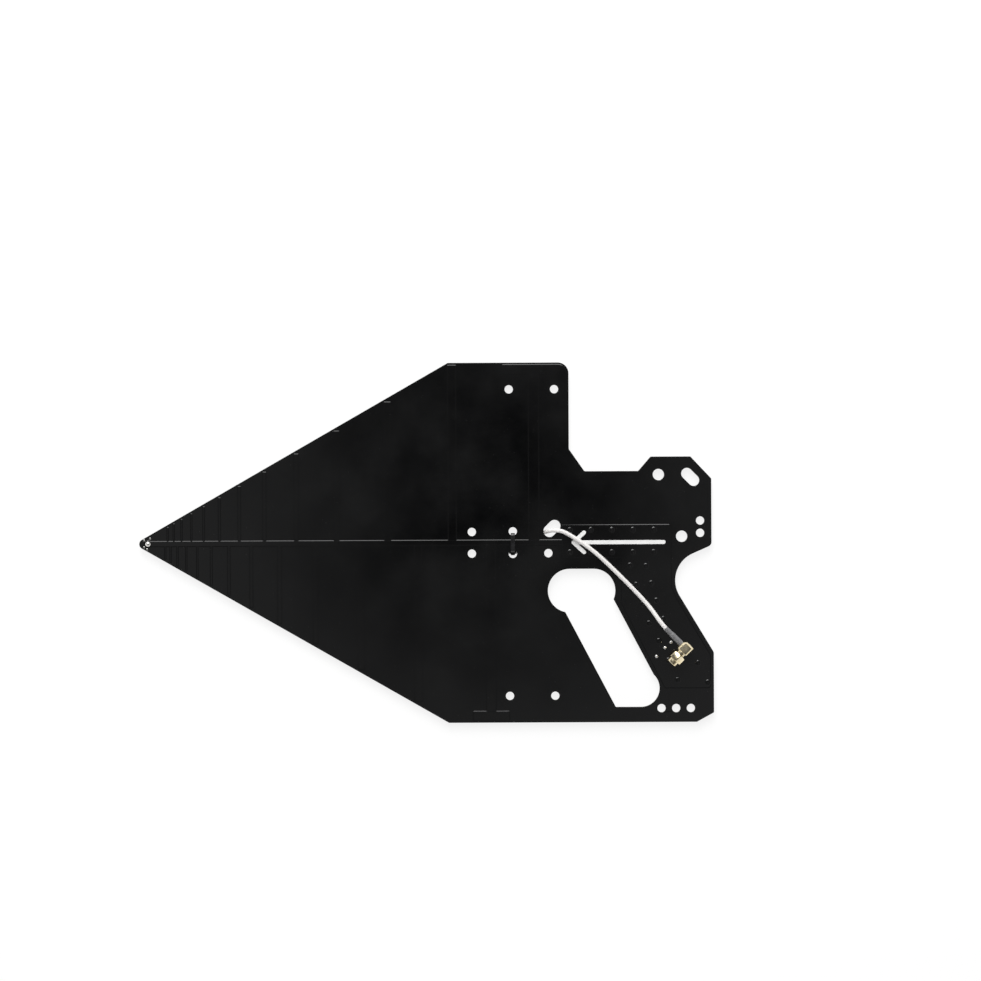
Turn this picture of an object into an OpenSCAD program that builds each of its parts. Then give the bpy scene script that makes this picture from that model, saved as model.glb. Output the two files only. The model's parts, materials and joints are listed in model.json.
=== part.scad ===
// Hand-held log periodic antenna: a printed dipole array on an arrow-shaped laminate board, fed by a
// thin coaxial cable that ends in a right-angle threaded plug. Millimetres. The board lies level, back
// face down, on its feed cable and its cable tie. X runs along the boom from the tip, and the lengths
// below that start at the tip are moved so that the middle of the board is at X = 0.

/* [Board outline] */
// Length of the board from the tip to the heel
board_len = 344.5; // [340:0.5:352]
// Width of the board across the wings
board_w = 216; // [206:0.5:226]
// Thickness of the laminate
board_t = 1.6; // [1:0.1:2.4]
// Radius of the rounded tip
tip_r = 3; // [2.5:0.1:3.5]
// Distance from the tip to the shoulders, where the taper ends
shoulder_x = 185.5; // [178:0.5:192]
// Distance from the tip to the rear edge of the upper wing
wing_rear_x = 258; // [254:0.5:262]
// Radius of the upper wing's rear corner
wing_r = 6.5; // [3:0.5:9]
// Height above the boom at which the wing's rear edge turns into the notch
notch_start_y = 56; // [50:0.5:66]
// Height of the notch's floor above the boom
notch_y = 42.7; // [38:0.1:46]
// Distance from the wing's rear edge to the front of the notch's floor
notch_slant = 9.3; // [6:0.1:14]
// Distance along the boom that the lug's front edge slants
lug_slant = 7.4; // [5:0.1:10]
// Length of the lug's top
lug_top_len = 23.9; // [20:0.1:28]
// Height of the lug's top above the boom
lug_top_y = 51.3; // [49:0.1:56]
// Length of the lug's cut rear corner along the boom
lug_cut = 12.5; // [10:0.1:15]
// How far the lug's rear edge stands in front of the heel's
lug_inset = 1.1; // [0:0.1:4]
// Height of the corner where the lug's rear edge starts
lug_shoulder_y = 38; // [34:0.5:42]
// Height of the lug's lower rear corner
lug_low_y = -2; // [-4:0.5:0]
// Radius of the lug's lower rear corner
lug_low_r = 3; // [1:0.5:4]
// Slope of the lug's lower edge, in degrees
lug_slope = 23.7; // [20:0.1:27]
// Radius of the web that the thumb rests in
web_r = 17.6; // [14:0.1:20]
// Slope of the grip's back, in degrees
grip_slope = 59; // [56:0.5:62]
// Height at which the grip's back meets the heel
grip_end_y = -66.2; // [-70:0.1:-62]
// Length of the heel's cut corner along the boom
heel_cut_x = 10.3; // [6:0.1:14]
// Height of the heel's cut corner
heel_cut_y = 5.6; // [3:0.1:8]
// Radius left on the other corners by the router
corner_r = 1; // [0.5:0.1:2]

/* [Finger opening] */
// Radius of the two lobes at the top of the opening
head_r = 13.1; // [11:0.1:14]
// Distance between the two lobes' centres
head_gap = 14.3; // [12:0.1:17]
// Distance from the heel to the front lobe's centre
head_back = 86.3; // [84:0.1:89]
// Height of the lobes' centres
head_y = -29; // [-32:0.5:-28]
// Slope of the opening's long sides, in degrees
slot_slope = 62.2; // [60:0.1:64]
// Width of the opening between its long sides
slot_w = 29.2; // [26:0.1:31]
// Distance from the heel to the opening's lower front corner
slot_corner_back = 58.9; // [56:0.1:62]
// Width of the wall below the opening
floor_wall = 9.1; // [7:0.1:12]
// Radius of the lobe at the lower rear of the opening
low_r = 11.2; // [9:0.1:13]
// How far that lobe bulges past the long side
low_bulge = 0.6; // [0.2:0.1:1.2]

/* [Holes] */
// Radius of the small holes
hole_r = 2.5; // [2.2:0.1:2.7]
// Distance from the tip to the wings' front holes
wing_hole_x = 222.1; // [220:0.1:225]
// Distance between a wing's two holes
wing_hole_gap = 27.2; // [25:0.1:28]
// Height of the wings' holes above and below the boom
wing_hole_y = 92; // [88:0.5:95]
// Distance from the heel to the boom's front pair of holes
boom_hole_back = 144.9; // [142:0.1:148]
// Distance between the holes of the boom's front pair
boom_hole_gap = 13; // [12:0.1:15]
// Distance from the heel to the pair of holes that the cable tie passes
tie_hole_back = 120.3; // [119:0.1:124]
// Distance between the cable tie's holes
tie_hole_gap = 13.5; // [12.5:0.1:15]
// Distance from the heel to the spare hole beside the cable slot
spare_hole_back = 99; // [97:0.1:102]
// Height of the spare hole
spare_hole_y = -6.4; // [-7.5:0.1:-6]
// Distance from the heel to the lug's rear pair of holes
lug_hole_back = 7.9; // [6:0.1:11]
// Height of the middle of the lug's rear pair
lug_hole_y = 9.1; // [8:0.1:11]
// Distance between the holes of the lug's rear pair
lug_hole_gap = 7.4; // [6.5:0.1:9]
// Distance from the heel's rear edge to the middle of its three holes
heel_hole_back = 22.7; // [20:0.1:25]
// Distance between the heel's holes
heel_hole_gap = 8.8; // [7.5:0.1:9]
// Distance from the heel's holes to the bottom edge
heel_hole_edge = 8.3; // [7:0.1:9]
// Radius of the two large holes in the lug
lug_bore_r = 3.4; // [3:0.1:3.6]
// Distance from the heel to the lug's front large hole
front_bore_back = 32.8; // [30:0.1:35]
// Height of the lug's front large hole
front_bore_y = 40.5; // [39:0.1:43]
// Distance from the heel to the lug's rear large hole
rear_bore_back = 19; // [17:0.1:21]
// Height of the lug's rear large hole
rear_bore_y = 3.4; // [2:0.1:5]
// Distance from the heel to the middle of the lug's oblong hole
lug_slot_back = 13.7; // [12:0.1:16]
// Height of the middle of the lug's oblong hole
lug_slot_y = 39; // [37:0.1:40]
// Distance between the centres of the lug's oblong hole
lug_slot_gap = 5.7; // [4:0.1:7]
// Distance from the heel to the middle of the cable slot
cable_slot_back = 96.8; // [96.5:0.1:97.2]
// Height of the middle of the cable slot
cable_slot_y = 8.4; // [8:0.1:8.8]
// Radius of the cable slot's ends
cable_slot_r = 3.6; // [3.5:0.1:4]
// Distance between the centres of the cable slot's ends
cable_slot_gap = 4.3; // [4:0.1:5]

/* [Dipole array] */
// Ratio of each dipole's distance from the apex to that of the next longer one
tau = 0.79; // [0.76:0.005:0.82]
// Dipoles on each side of the boom
dipoles = 13; // [8:1:14]
// Distance from the tip to the apex of the pattern
apex_x = 3.3; // [3:0.1:4]
// Distance from the apex to the longest dipole
longest_r = 233.6; // [230:0.1:236]
// Width of an arm as a share of its distance from the apex
arm_ratio = 0.027; // [0.02:0.001:0.032]
// Width of the narrowest arm
arm_min_w = 0.8; // [0.5:0.1:1]
// Width of the boom strips
boom_strip_w = 3; // [2:0.1:4]
// Height that the copper stands up under the mask
copper_t = 0.1; // [0.05:0.01:0.2]
// Bare rim between the copper and the edge of the board
rim = 1.2; // [0.8:0.1:2]
// Length of the end load on the longest dipole
long_hat = 38.4; // [34:0.1:40]
// Length of the end load on the second longest dipole
short_hat = 21.6; // [18:0.1:26]
// Width of the end loads
hat_w = 5.6; // [4:0.1:7]
// Distance from the heel to the front of the ground area
ground_back = 90.7; // [90.2:0.1:91]
// Height of the ground area's upper edge
ground_top_y = 10.4; // [9.8:0.1:12]
// Height of the ground area's lower edge along the boom
ground_low_y = -9.2; // [-10.5:0.1:-9]

/* [Tented vias] */
// Radius of a via's ring under the mask
via_r = 1.8; // [1.4:0.1:2]
// Height of a via's ring
via_h = 0.25; // [0.15:0.01:0.35]
// Distance from the heel to the first vias beside the boom
via_back = 86.1; // [85:0.1:87]
// Distance between the vias beside the boom
via_pitch = 12.6; // [11.5:0.1:12.8]
// Height of the vias above the boom
via_upper_y = 7.4; // [7:0.1:8]
// Height of the vias below the boom
via_lower_y = -6; // [-6.8:0.1:-5.5]
// Radius of the tinned spots on the grip
tin_r = 0.9; // [0.6:0.1:1.2]
// Height of the tinned spots
tin_h = 0.4; // [0.2:0.05:0.6]

/* [Feed] */
// Distance from the tip to the feed hole
feed_x = 5.2; // [5:0.1:6]
// Radius of the feed hole
feed_hole_r = 0.6; // [0.4:0.05:0.8]
// Radius of the round pad at the feed hole
feed_pad_r = 2; // [1.6:0.1:2.1]
// Radius of the front solder joint
feed_solder_r = 1.5; // [1:0.1:1.6]
// Height of the front solder joint
feed_solder_h = 0.8; // [0.5:0.05:1.2]
// Radius of the small pads at the tip
tip_pad_r = 0.7; // [0.5:0.05:0.75]
// Distance from the tip to the end of the cable's jacket
jacket_x = 15.5; // [15:0.1:18]
// Length of bare braid
braid_len = 5.6; // [5.3:0.1:6.5]
// Radius of the braid
braid_r = 1; // [0.9:0.05:1.1]
// Length of bare dielectric
dielectric_len = 2.7; // [2:0.1:3]
// Radius of the dielectric
dielectric_r = 0.75; // [0.6:0.05:0.85]
// Radius of the centre conductor
conductor_r = 0.26; // [0.2:0.01:0.35]
// Radius of the solder joint on the braid
braid_solder_r = 2.6; // [2.2:0.1:2.7]
// Height of the solder joint on the braid
braid_solder_h = 2.4; // [2.2:0.1:2.5]

/* [Cable and tie] */
// Diameter of the coaxial cable
cable_d = 2.5; // [2.3:0.05:2.6]
// Width of the cable tie's strap
tie_w = 2.5; // [2:0.1:3]
// Thickness of the cable tie's strap
tie_t = 1.1; // [0.9:0.1:1.4]
// Length of the cable tie's head across the boom
tie_head_y = 4.9; // [4.4:0.1:5.2]
// Width of the cable tie's head
tie_head_w = 4.6; // [4:0.1:5.2]
// Height of the cable tie's head
tie_head_h = 3.4; // [3:0.1:3.5]

/* [Direction arrow] */
// Distance from the heel to the arrow's point
arrow_back = 85.1; // [83:0.1:87]
// Length of the arrow
arrow_len = 57.6; // [50:0.1:60]
// Width of the arrow's strokes
arrow_w = 2.4; // [1.6:0.1:2.8]
// Reach of the arrow's barbs, along and across
barb = 6.3; // [4:0.1:7]
// Thickness of the print
print_t = 0.05; // [0.03:0.01:0.08]

/* [Plug] */
// Distance from the heel to where the plug's axis meets the axis of its cable
plug_back = 17; // [16.9:0.1:17.1]
// Height of that point, across the board
plug_y = -63.7; // [-63.8:0.1:-63.6]
// Thickness of the corner block
block = 6.35; // [6:0.05:6.6]
// From the axis of the cable to the block's rear
block_rear = 3.1; // [3:0.05:3.2]
// From the axis of the cable to the block's front
block_front = 3.25; // [3.2:0.05:3.4]
// From the plug's axis to the side that the cable enters
block_side = 3.85; // [3.7:0.05:3.85]
// Width of the cuts along the block's top and bottom edges
block_cut = 1; // [0.6:0.1:1.1]
// Cut on the block's upright corner between the cable and the rear
corner_cut = 1.7; // [1:0.1:1.9]
// Length of the stem that the cable's braid is crimped on
stem_len = 1.3; // [1:0.05:1.3]
// Radius of the rear cap
cap_r = 1.9; // [1.7:0.1:2]
// Depth of the rear cap's seat
cap_seat = 0.8; // [0.5:0.1:1]
// How far the rear cap stands proud
cap_proud = 0.15; // [0.1:0.05:0.4]
// Radius of the round shoulder between the block and the nut
shoulder_r = 2.9; // [2.7:0.05:3]
// Length of the round shoulder
shoulder_len = 1.85; // [1.5:0.05:2]
// Radius of the neck that the nut turns on
neck_r = 2.4; // [2.3:0.01:2.45]
// Radius of the flange behind the gasket
flange_r = 2.75; // [2.7:0.01:2.78]
// Radius of the outer contact
contact_r = 2.3; // [2.2:0.01:2.4]
// Distance from the cable's axis to the mating plane
mating_x = 8.9; // [8.7:0.1:9.3]
// Radius of the insulator
insulator_r = 2.05; // [2:0.01:2.1]
// Radius of the centre pin
pin_r = 0.46; // [0.44:0.01:0.5]
// How far the centre pin stands out of the insulator
pin_out = 2; // [1.5:0.1:2.4]
// Distance across the nut's flats
nut_af = 8; // [7.8:0.1:8.1]
// Radius that the nut's corners are turned to
nut_corner_r = 4.45; // [4.4:0.01:4.5]
// How far the nut is turned from having a corner on top, in degrees
nut_turn = 6; // [-30:1:30]
// Length of the nut
nut_len = 7.25; // [7:0.05:7.6]
// Length of the nut's round nose
nose_len = 2.6; // [2:0.1:3]
// Radius of the nut's round nose
nose_r = 3.4; // [3.3:0.05:3.6]
// Radius inside the nut
nut_bore_r = 2.9; // [2.85:0.01:2.95]
// Thickness of the nut's rear lip
lip_t = 0.8; // [0.7:0.05:0.85]
// Thickness of the snap ring
ring_t = 0.45; // [0.4:0.01:0.5]
// Thickness of the gasket
gasket_t = 0.6; // [0.5:0.05:0.7]
// Length of the crimp ferrule
ferrule_len = 7.5; // [6:0.1:8]
// Outer radius of the crimp ferrule
ferrule_r = 1.5; // [1.46:0.01:1.6]
// Wall of the shrink sleeve
sleeve_wall = 0.2; // [0.15:0.01:0.3]
// Length of the shrink sleeve
sleeve_len = 13.3; // [12:0.1:13.5]

/* [Clearances] */
// Between the nut's corners and the vias below them
nut_gap = 0.3; // [0.25:0.05:0.6]
// Radial clearance of the nut on the plug's neck
nut_play = 0.08; // [0.05:0.01:0.1]
// Between the tie and what it holds
tie_gap = 0.05; // [0.02:0.01:0.1]
// Between the cable and the pieces around it
cable_gap = 0.07; // [0.04:0.01:0.1]

/* [Hidden] */
$fn = 64;

// Degrees between the points of a round stretch of an outline
arc_step = 6;
// Sides of the swept cable
cable_sides = 8;
// How far a cutter runs past the face that it opens
past = 1;

// Levels, from the surface that the antenna lies on
cable_r = cable_d / 2;
back_z = tie_t + tie_gap + cable_d + copper_t;
front_z = back_z + board_t;
under_z = back_z - copper_t - cable_r;
over_z = front_z + copper_t + via_h + cable_gap + cable_r;
plug_z = front_z + copper_t + via_h + nut_gap + nut_corner_r;

// The taper: a line from each shoulder that touches the round tip
wing = board_w / 2;
taper = atan2(wing, shoulder_x - tip_r) - asin(tip_r / norm([shoulder_x - tip_r, wing]));
taper_apex_x = tip_r - tip_r / sin(taper);

// The lug, and the corner that the thumb web rounds, where the lug's lower edge and the grip's back
// would meet
lug_rear_x = board_len - lug_inset;
lug_top_rear_x = lug_rear_x - lug_cut;
lug_front_x = lug_top_rear_x - lug_top_len;
web_x = (grip_end_y - lug_low_y + board_len * tan(grip_slope) + lug_rear_x * tan(lug_slope))
    / (tan(grip_slope) + tan(lug_slope));
web_y = lug_low_y + (web_x - lug_rear_x) * tan(lug_slope);

// The outline's corners: place and radius
outline = [
    [taper_apex_x, 0, tip_r],
    [shoulder_x, wing, corner_r],
    [wing_rear_x, wing, wing_r],
    [wing_rear_x, notch_start_y, corner_r],
    [wing_rear_x + notch_slant, notch_y, corner_r],
    [lug_front_x - lug_slant, notch_y, corner_r],
    [lug_front_x, lug_top_y, corner_r],
    [lug_top_rear_x, lug_top_y, corner_r],
    [lug_rear_x, lug_shoulder_y, corner_r],
    [lug_rear_x, lug_low_y, lug_low_r],
    [web_x, web_y, web_r],
    [board_len, grip_end_y, lug_low_r],
    [board_len, heel_cut_y - wing, corner_r],
    [board_len - heel_cut_x, -wing, corner_r],
    [shoulder_x, -wing, corner_r]
];

// The finger opening: two lobes, two slanted sides and a third lobe at the lower rear
floor_y = floor_wall - wing;
across = [sin(slot_slope), cos(slot_slope)];
slot_corner = [board_len - slot_corner_back, floor_y];
slot_rear = slot_corner + across * slot_w;
head_front = [board_len - head_back, head_y];
head_rear = head_front + [head_gap, 0];
low_y = floor_y + low_r;
low_x = slot_rear.x - (low_r - low_bulge - (slot_rear.y - low_y) * across.y) / across.x;
low_lobe = [low_x, low_y];

// Vias down the grip, each row as distance from the heel, height, heading, pitch and count
grip_vias = [
    [50.1, -14, -72, 12.2, 4],
    [32.9, -59.4, -64.3, 13, 3],
    [40.5, -14.4, -73.3, 10.8, 3],
    [30.1, -46.2, -64.4, 12, 3],
    [9.5, -72.7, -63.3, 13.1, 2]
];
vias_by_boom = 5;
// Tinned spots, as distance from the heel and height
tinned = [[25.7, -60.2], [29.3, -63.4], [34.4, -68.6]];
// Small pads, as distance from the tip and height
tip_pad_places = [[2.9, 2.1], [2.9, -2.1], [6.5, 3.1], [4.7, -3.3]];

// The ground area's corners down the grip, beside the opening, the heel and the grip's back, and behind
// the boom, as distance from the heel and height
ground_rear = 25.5;
ground_grip = [
    [55, ground_low_y], [55, -37], [29.3, -87.5], [2.1, -87.5], [2.1, -68], [22.5, -34],
    [ground_rear, -27], [ground_rear, ground_top_y]
];

// The cable's route behind its tie: distance from the heel, height, and level, where 0 lies under the
// board, 1 lies on its front face and 2 is the plug's axis
route_back = [
    [115.5, 0.3, -0.02], [111.5, 1.5, -0.07], [107.5, 3.3, -0.12], [103.7, 5.1, -0.13],
    [101.5, 5.95, -0.06], [99.4, 6.6, 0.14], [97.6, 7, 0.46], [95.7, 7.2, 0.79], [93.5, 7.2, 0.99],
    [91.1, 6.8, 1.06], [88.5, 5.7, 1.05], [85.5, 4, 1.02], [81.5, 1.5, 1], [76.5, -1.9, 1],
    [71.5, -5.7, 1], [66.5, -10.1, 1], [61.5, -14.9, 1], [56.5, -19.8, 1], [51.5, -24.8, 1],
    [46.5, -30, 1], [41.5, -35.4, 1.08], [37.1, -40.8, 1.38], [33.5, -45.9, 1.76],
    [31, -49.2, 1.94], [28.5, -52.2, 2], [24.5, -56.2, 2], [20.7, -60, 2]
];
// The points of the straight run from the tip to the tie, and of the rest up to where the cable is free
straight_points = 6;
held_points = 10;

// The plug: its axis points to the grip's front at this heading, and its cable leaves square to it
plug_heading = -135;
block_half = block / 2;
nut_x = block_front + shoulder_len + 0.15;
lip_x = nut_x + lip_t;
groove_r = neck_r - 0.35;
ring_x = lip_x + 0.1;
flange_x = ring_x + ring_t + 0.2;
flange_t = 0.6;
gasket_x = flange_x + flange_t;
ring_out_r = nut_bore_r - 0.12;
ferrule_in_r = cable_r + cable_gap;
sleeve_step_y = block_side + 0.1 + ferrule_len + cable_gap;

function unit(v) = v / norm(v);
function wrapped(a) = a > 180 ? a - 360 : a < -180 ? a + 360 : a;
function flat(p) = [p.x, p.y];

// Points of an arc
function arc(centre, r, from, to) =
    let (steps = ceil(abs(to - from) / arc_step))
    [for (i = [0:steps]) let (a = from + (to - from) * i / steps) centre + r * [cos(a), sin(a)]];

// One corner of an outline, rounded to a radius
function corner(before, at, after, r) =
    r == 0 ? [at] :
    let (a = unit(before - at))
    let (b = unit(after - at))
    let (half = acos(a * b) / 2)
    let (middle = at + unit(a + b) * r / sin(half))
    let (first = at + a * r / tan(half) - middle)
    let (last = at + b * r / tan(half) - middle)
    let (from = atan2(first.y, first.x))
    arc(middle, r, from, from + wrapped(atan2(last.y, last.x) - from));

// An outline whose corners are given as place and radius
function rounded(p) =
    let (n = len(p))
    [for (i = [0:n - 1]) each corner(flat(p[(i + n - 1) % n]), flat(p[i]), flat(p[(i + 1) % n]), p[i].z)];

// A convex outline moved outwards by a distance, with its corners' radii grown by as much
function outset(p, by) =
    let (n = len(p))
    [for (i = [0:n - 1])
        let (a = unit(flat(p[(i + n - 1) % n]) - flat(p[i])))
        let (b = unit(flat(p[(i + 1) % n]) - flat(p[i])))
        let (v = flat(p[i]) - unit(a + b) * by / sin(acos(a * b) / 2))
        [v.x, v.y, p[i].z + by]];

// An oblong with round ends
function oblong(centre, heading, gap, r) =
    let (way = [cos(heading), sin(heading)] * gap / 2)
    concat(arc(centre + way, r, heading - 90, heading + 90),
           arc(centre - way, r, heading + 90, heading + 270));

// Angle at which a line along the finger opening's slope, through a point, crosses a circle
function crossing(centre, r, point, side) =
    90 - slot_slope + side * acos((point - centre) * across / r);

// Height of a level on the cable's route
function level(k) = k <= 1 ? under_z + k * (over_z - under_z) : over_z + (k - 1) * (plug_z - over_z);

// The cable's whole route, from its stripped end to the plug
function cable_route() =
    let (straight = board_len - tie_hole_back + 1 - jacket_x)
    concat([for (i = [0:straight_points - 1])
                [jacket_x + straight * i / (straight_points - 1), 0, under_z]],
           [for (p = route_back) [board_len - p.x, p.y, level(p.z)]]);

// Direction of a route at one of its points
function heading_at(route, i) =
    unit(route[min(i + 1, len(route) - 1)] - route[max(i - 1, 0)]);

// One ring of points round a route
function ring_at(route, i, r) =
    let (t = heading_at(route, i))
    let (side = unit(cross(t, [0, 0, 1])))
    let (up = cross(side, t))
    [for (k = [0:cable_sides - 1])
        let (a = 360 * (k + 0.5) / cable_sides)
        route[i] + r * (side * cos(a) + up * sin(a))];

// A tube swept along a route, from one of its points to another
module tube(route, first, last, r) {
    rings = last - first + 1;
    s = cable_sides;
    points = [for (i = [first:last]) each ring_at(route, i, r)];
    walls = [for (i = [0:rings - 2], k = [0:s - 1])
        [i * s + k, (i + 1) * s + k, (i + 1) * s + (k + 1) % s, i * s + (k + 1) % s]];
    start = [for (k = [0:s - 1]) k];
    end = [for (k = [s - 1:-1:0]) (rings - 1) * s + k];
    polyhedron(points, concat([start, end], walls));
}

// Places what is measured from the tip
module from_tip(z = 0) {
    translate([-board_len / 2, 0, z]) children();
}

// A drill through the board
module drill(x, y, r) {
    translate([x, y, -past]) cylinder(r = r, h = board_t + 2 * past);
}

// A router cut through the board
module cut(points) {
    translate([0, 0, -past]) linear_extrude(board_t + 2 * past) polygon(points);
}

// A low round form turned about Z, given as radius and height
module turned(profile) {
    rotate_extrude() polygon(profile);
}

// A form turned about X, given as distance along the axis and radius
module turned_x(profile) {
    rotate([90, 0, 90]) rotate_extrude() polygon([for (p = profile) [p.y, p.x]]);
}

// Every place of a tented via
function via_places() = concat(
    [for (i = [0:vias_by_boom - 1], y = [via_upper_y, via_lower_y])
        [board_len - via_back + i * via_pitch, y]],
    [for (row = grip_vias, i = [0:row[4] - 1])
        [board_len - row.x, row.y] + i * row[3] * [cos(row.z), sin(row.z)]]);

// The finger opening's outline
function opening() = concat(
    arc(head_front, head_r, 90, crossing(head_front, head_r, slot_corner, -1) + 360),
    [slot_corner],
    arc(low_lobe, low_r, -90, crossing(low_lobe, low_r, slot_rear, 1)),
    arc(head_rear, head_r, crossing(head_rear, head_r, slot_rear, -1), 90));

// The laminate under its black mask
module board() {
    color([0.08, 0.08, 0.09])
    from_tip(back_z)
    difference() {
        linear_extrude(board_t) polygon(rounded(outline));
        cut(opening());
        cut(oblong([board_len - lug_slot_back, lug_slot_y], -45, lug_slot_gap, lug_bore_r));
        cut(oblong([board_len - cable_slot_back, cable_slot_y], 45, cable_slot_gap, cable_slot_r));
        for (x = [0, wing_hole_gap], side = [-1, 1]) drill(wing_hole_x + x, side * wing_hole_y, hole_r);
        for (side = [-1, 1]) {
            drill(board_len - boom_hole_back, side * boom_hole_gap / 2, hole_r);
            drill(board_len - tie_hole_back, side * tie_hole_gap / 2, hole_r);
            drill(board_len - lug_hole_back, lug_hole_y + side * lug_hole_gap / 2, hole_r);
        }
        drill(board_len - spare_hole_back, spare_hole_y, hole_r);
        for (i = [-1:1]) drill(board_len - heel_hole_back + i * heel_hole_gap, heel_hole_edge - wing, hole_r);
        drill(board_len - front_bore_back, front_bore_y, lug_bore_r);
        drill(board_len - rear_bore_back, rear_bore_y, lug_bore_r);
        drill(feed_x, 0, feed_hole_r);
    }
}

// One arm of a dipole, from the boom to the rim, on the side given as 1 or -1
module arm(r, side) {
    w = max(arm_min_w, arm_ratio * r);
    left = apex_x + r - w / 2;
    end = min(wing - rim, (left - taper_apex_x) * tan(taper) - rim / cos(taper));
    translate([left, side > 0 ? 0 : -end, 0]) cube([w, end, copper_t]);
}

// One face's copper: the boom strip, its arms on alternate sides, and the end loads
module dipole_face() {
    hat_y = wing - rim;
    hat_rear = wing_rear_x - rim;
    second_x = apex_x + longest_r * sqrt(tau);
    translate([apex_x, -boom_strip_w / 2, 0])
        cube([board_len - ground_back - apex_x + past, boom_strip_w, copper_t]);
    translate([feed_x, 0, 0]) cylinder(r = feed_pad_r, h = copper_t);
    for (n = [0:2 * dipoles - 1]) arm(longest_r * pow(tau, n / 2), n % 2 == 0 ? 1 : -1);
    linear_extrude(copper_t) polygon(rounded([
        [hat_rear - long_hat, hat_y - hat_w, 0], [hat_rear, hat_y - hat_w, 0],
        [hat_rear, hat_y, wing_r - rim], [hat_rear - long_hat, hat_y, 0]]));
    translate([second_x - short_hat / 2, -hat_y, 0]) cube([short_hat, hat_w, copper_t]);
}

// The ground area behind the dipoles and down the grip, the same on both faces
module ground() {
    front = [for (y = [ground_top_y, ground_low_y]) [ground_back, y]];
    linear_extrude(copper_t)
        polygon([for (p = concat(front, ground_grip)) [board_len - p.x, p.y]]);
}

module front_copper() {
    color([0.11, 0.11, 0.12])
    from_tip(front_z)
    difference() {
        union() {
            dipole_face();
            ground();
        }
        drill(feed_x, 0, feed_hole_r);
    }
}

module back_copper() {
    color([0.11, 0.11, 0.12])
    from_tip(back_z - copper_t)
    difference() {
        union() {
            mirror([0, 1, 0]) dipole_face();
            ground();
        }
        drill(feed_x, 0, feed_hole_r);
    }
}

// A tented via: a low ring with a dimple
module via() {
    turned([[0, 0], [via_r, 0], [via_r * 0.85, via_h * 0.75], [via_r * 0.65, via_h],
            [via_r * 0.45, via_h * 0.75], [0, via_h * 0.4]]);
}

module front_vias() {
    color([0.11, 0.11, 0.12])
    from_tip(front_z + copper_t)
    for (p = via_places()) translate(p) via();
}

module back_vias() {
    color([0.11, 0.11, 0.12])
    from_tip(back_z - copper_t)
    mirror([0, 0, 1])
    for (p = via_places()) translate(p) via();
}

module tip_pads() {
    color([0.75, 0.75, 0.72])
    from_tip(front_z)
    for (p = tip_pad_places) translate(p) cylinder(r = tip_pad_r, h = copper_t);
}

// A dome of solder, given by the radius of its foot and its height
module dome(r, h) {
    ball = (r * r + h * h) / (2 * h);
    low = asin((ball - h) / ball);
    steps = 8;
    turned(concat([[0, 0]],
        [for (i = [0:steps - 1]) let (a = low + (90 - low) * i / steps) [ball * cos(a), ball * sin(a) - ball + h]],
        [[0, h]]));
}

module tinned_spots() {
    color([0.8, 0.8, 0.78])
    from_tip(front_z + copper_t)
    for (p = tinned) translate([board_len - p.x, p.y, 0]) dome(tin_r, tin_h);
}

module direction_arrow() {
    half = arrow_w / 2;
    turn = 43;
    reach = barb / cos(turn);
    point_x = board_len - arrow_back;
    color("white")
    from_tip(front_z + copper_t)
    linear_extrude(print_t)
    union() {
        polygon(oblong([point_x + arrow_len / 2 - half / 2, 0], 0, arrow_len - half - arrow_w, half));
        for (side = [-1, 1])
            polygon(oblong([point_x + half, 0] + reach / 2 * [cos(turn), side * sin(turn)], side * turn,
                           reach, half));
    }
}

// The held run of the cable: under the boom from the tip, through the slot and onto the front
module feed_cable() {
    color([0.93, 0.92, 0.9])
    from_tip()
    tube(cable_route(), 0, straight_points + held_points - 1, cable_r);
}

module cable_braid() {
    color([0.75, 0.74, 0.7])
    from_tip(under_z)
    turned_x([[jacket_x - braid_len, 0], [jacket_x - braid_len, braid_r], [jacket_x, braid_r], [jacket_x, 0]]);
}

module cable_dielectric() {
    end = jacket_x - braid_len;
    color([0.95, 0.95, 0.92])
    from_tip(under_z)
    difference() {
        turned_x([[end - dielectric_len, 0], [end - dielectric_len, dielectric_r], [end, dielectric_r], [end, 0]]);
        turned_x([[end - dielectric_len - past, 0], [end - dielectric_len - past, conductor_r],
                  [end + past, conductor_r], [end + past, 0]]);
    }
}

// The centre conductor leaves the dielectric, bends up through the feed hole and ends in the solder
module centre_conductor() {
    end = jacket_x - braid_len;
    top = front_z + copper_t + feed_solder_h / 2 - under_z;
    color([0.8, 0.78, 0.74])
    from_tip(under_z)
    union() {
        turned_x([[feed_x, 0], [feed_x, conductor_r], [end, conductor_r], [end, 0]]);
        translate([feed_x, 0, 0]) sphere(r = conductor_r);
        translate([feed_x, 0, 0]) cylinder(r = conductor_r, h = top);
    }
}

module feed_solder() {
    color([0.82, 0.82, 0.8])
    from_tip(front_z + copper_t)
    translate([feed_x, 0, 0])
    difference() {
        dome(feed_solder_r, feed_solder_h);
        translate([0, 0, -past]) cylinder(r = conductor_r, h = past + feed_solder_h / 2);
    }
}

module braid_solder() {
    color([0.8, 0.8, 0.78])
    from_tip(back_z - copper_t)
    difference() {
        translate([jacket_x - braid_len / 2, 0, 0]) mirror([0, 0, 1]) dome(braid_solder_r, braid_solder_h);
        translate([jacket_x - braid_len - past, 0, -cable_r]) rotate([0, 90, 0])
            cylinder(r = braid_r, h = braid_len + 2 * past);
    }
}

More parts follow.
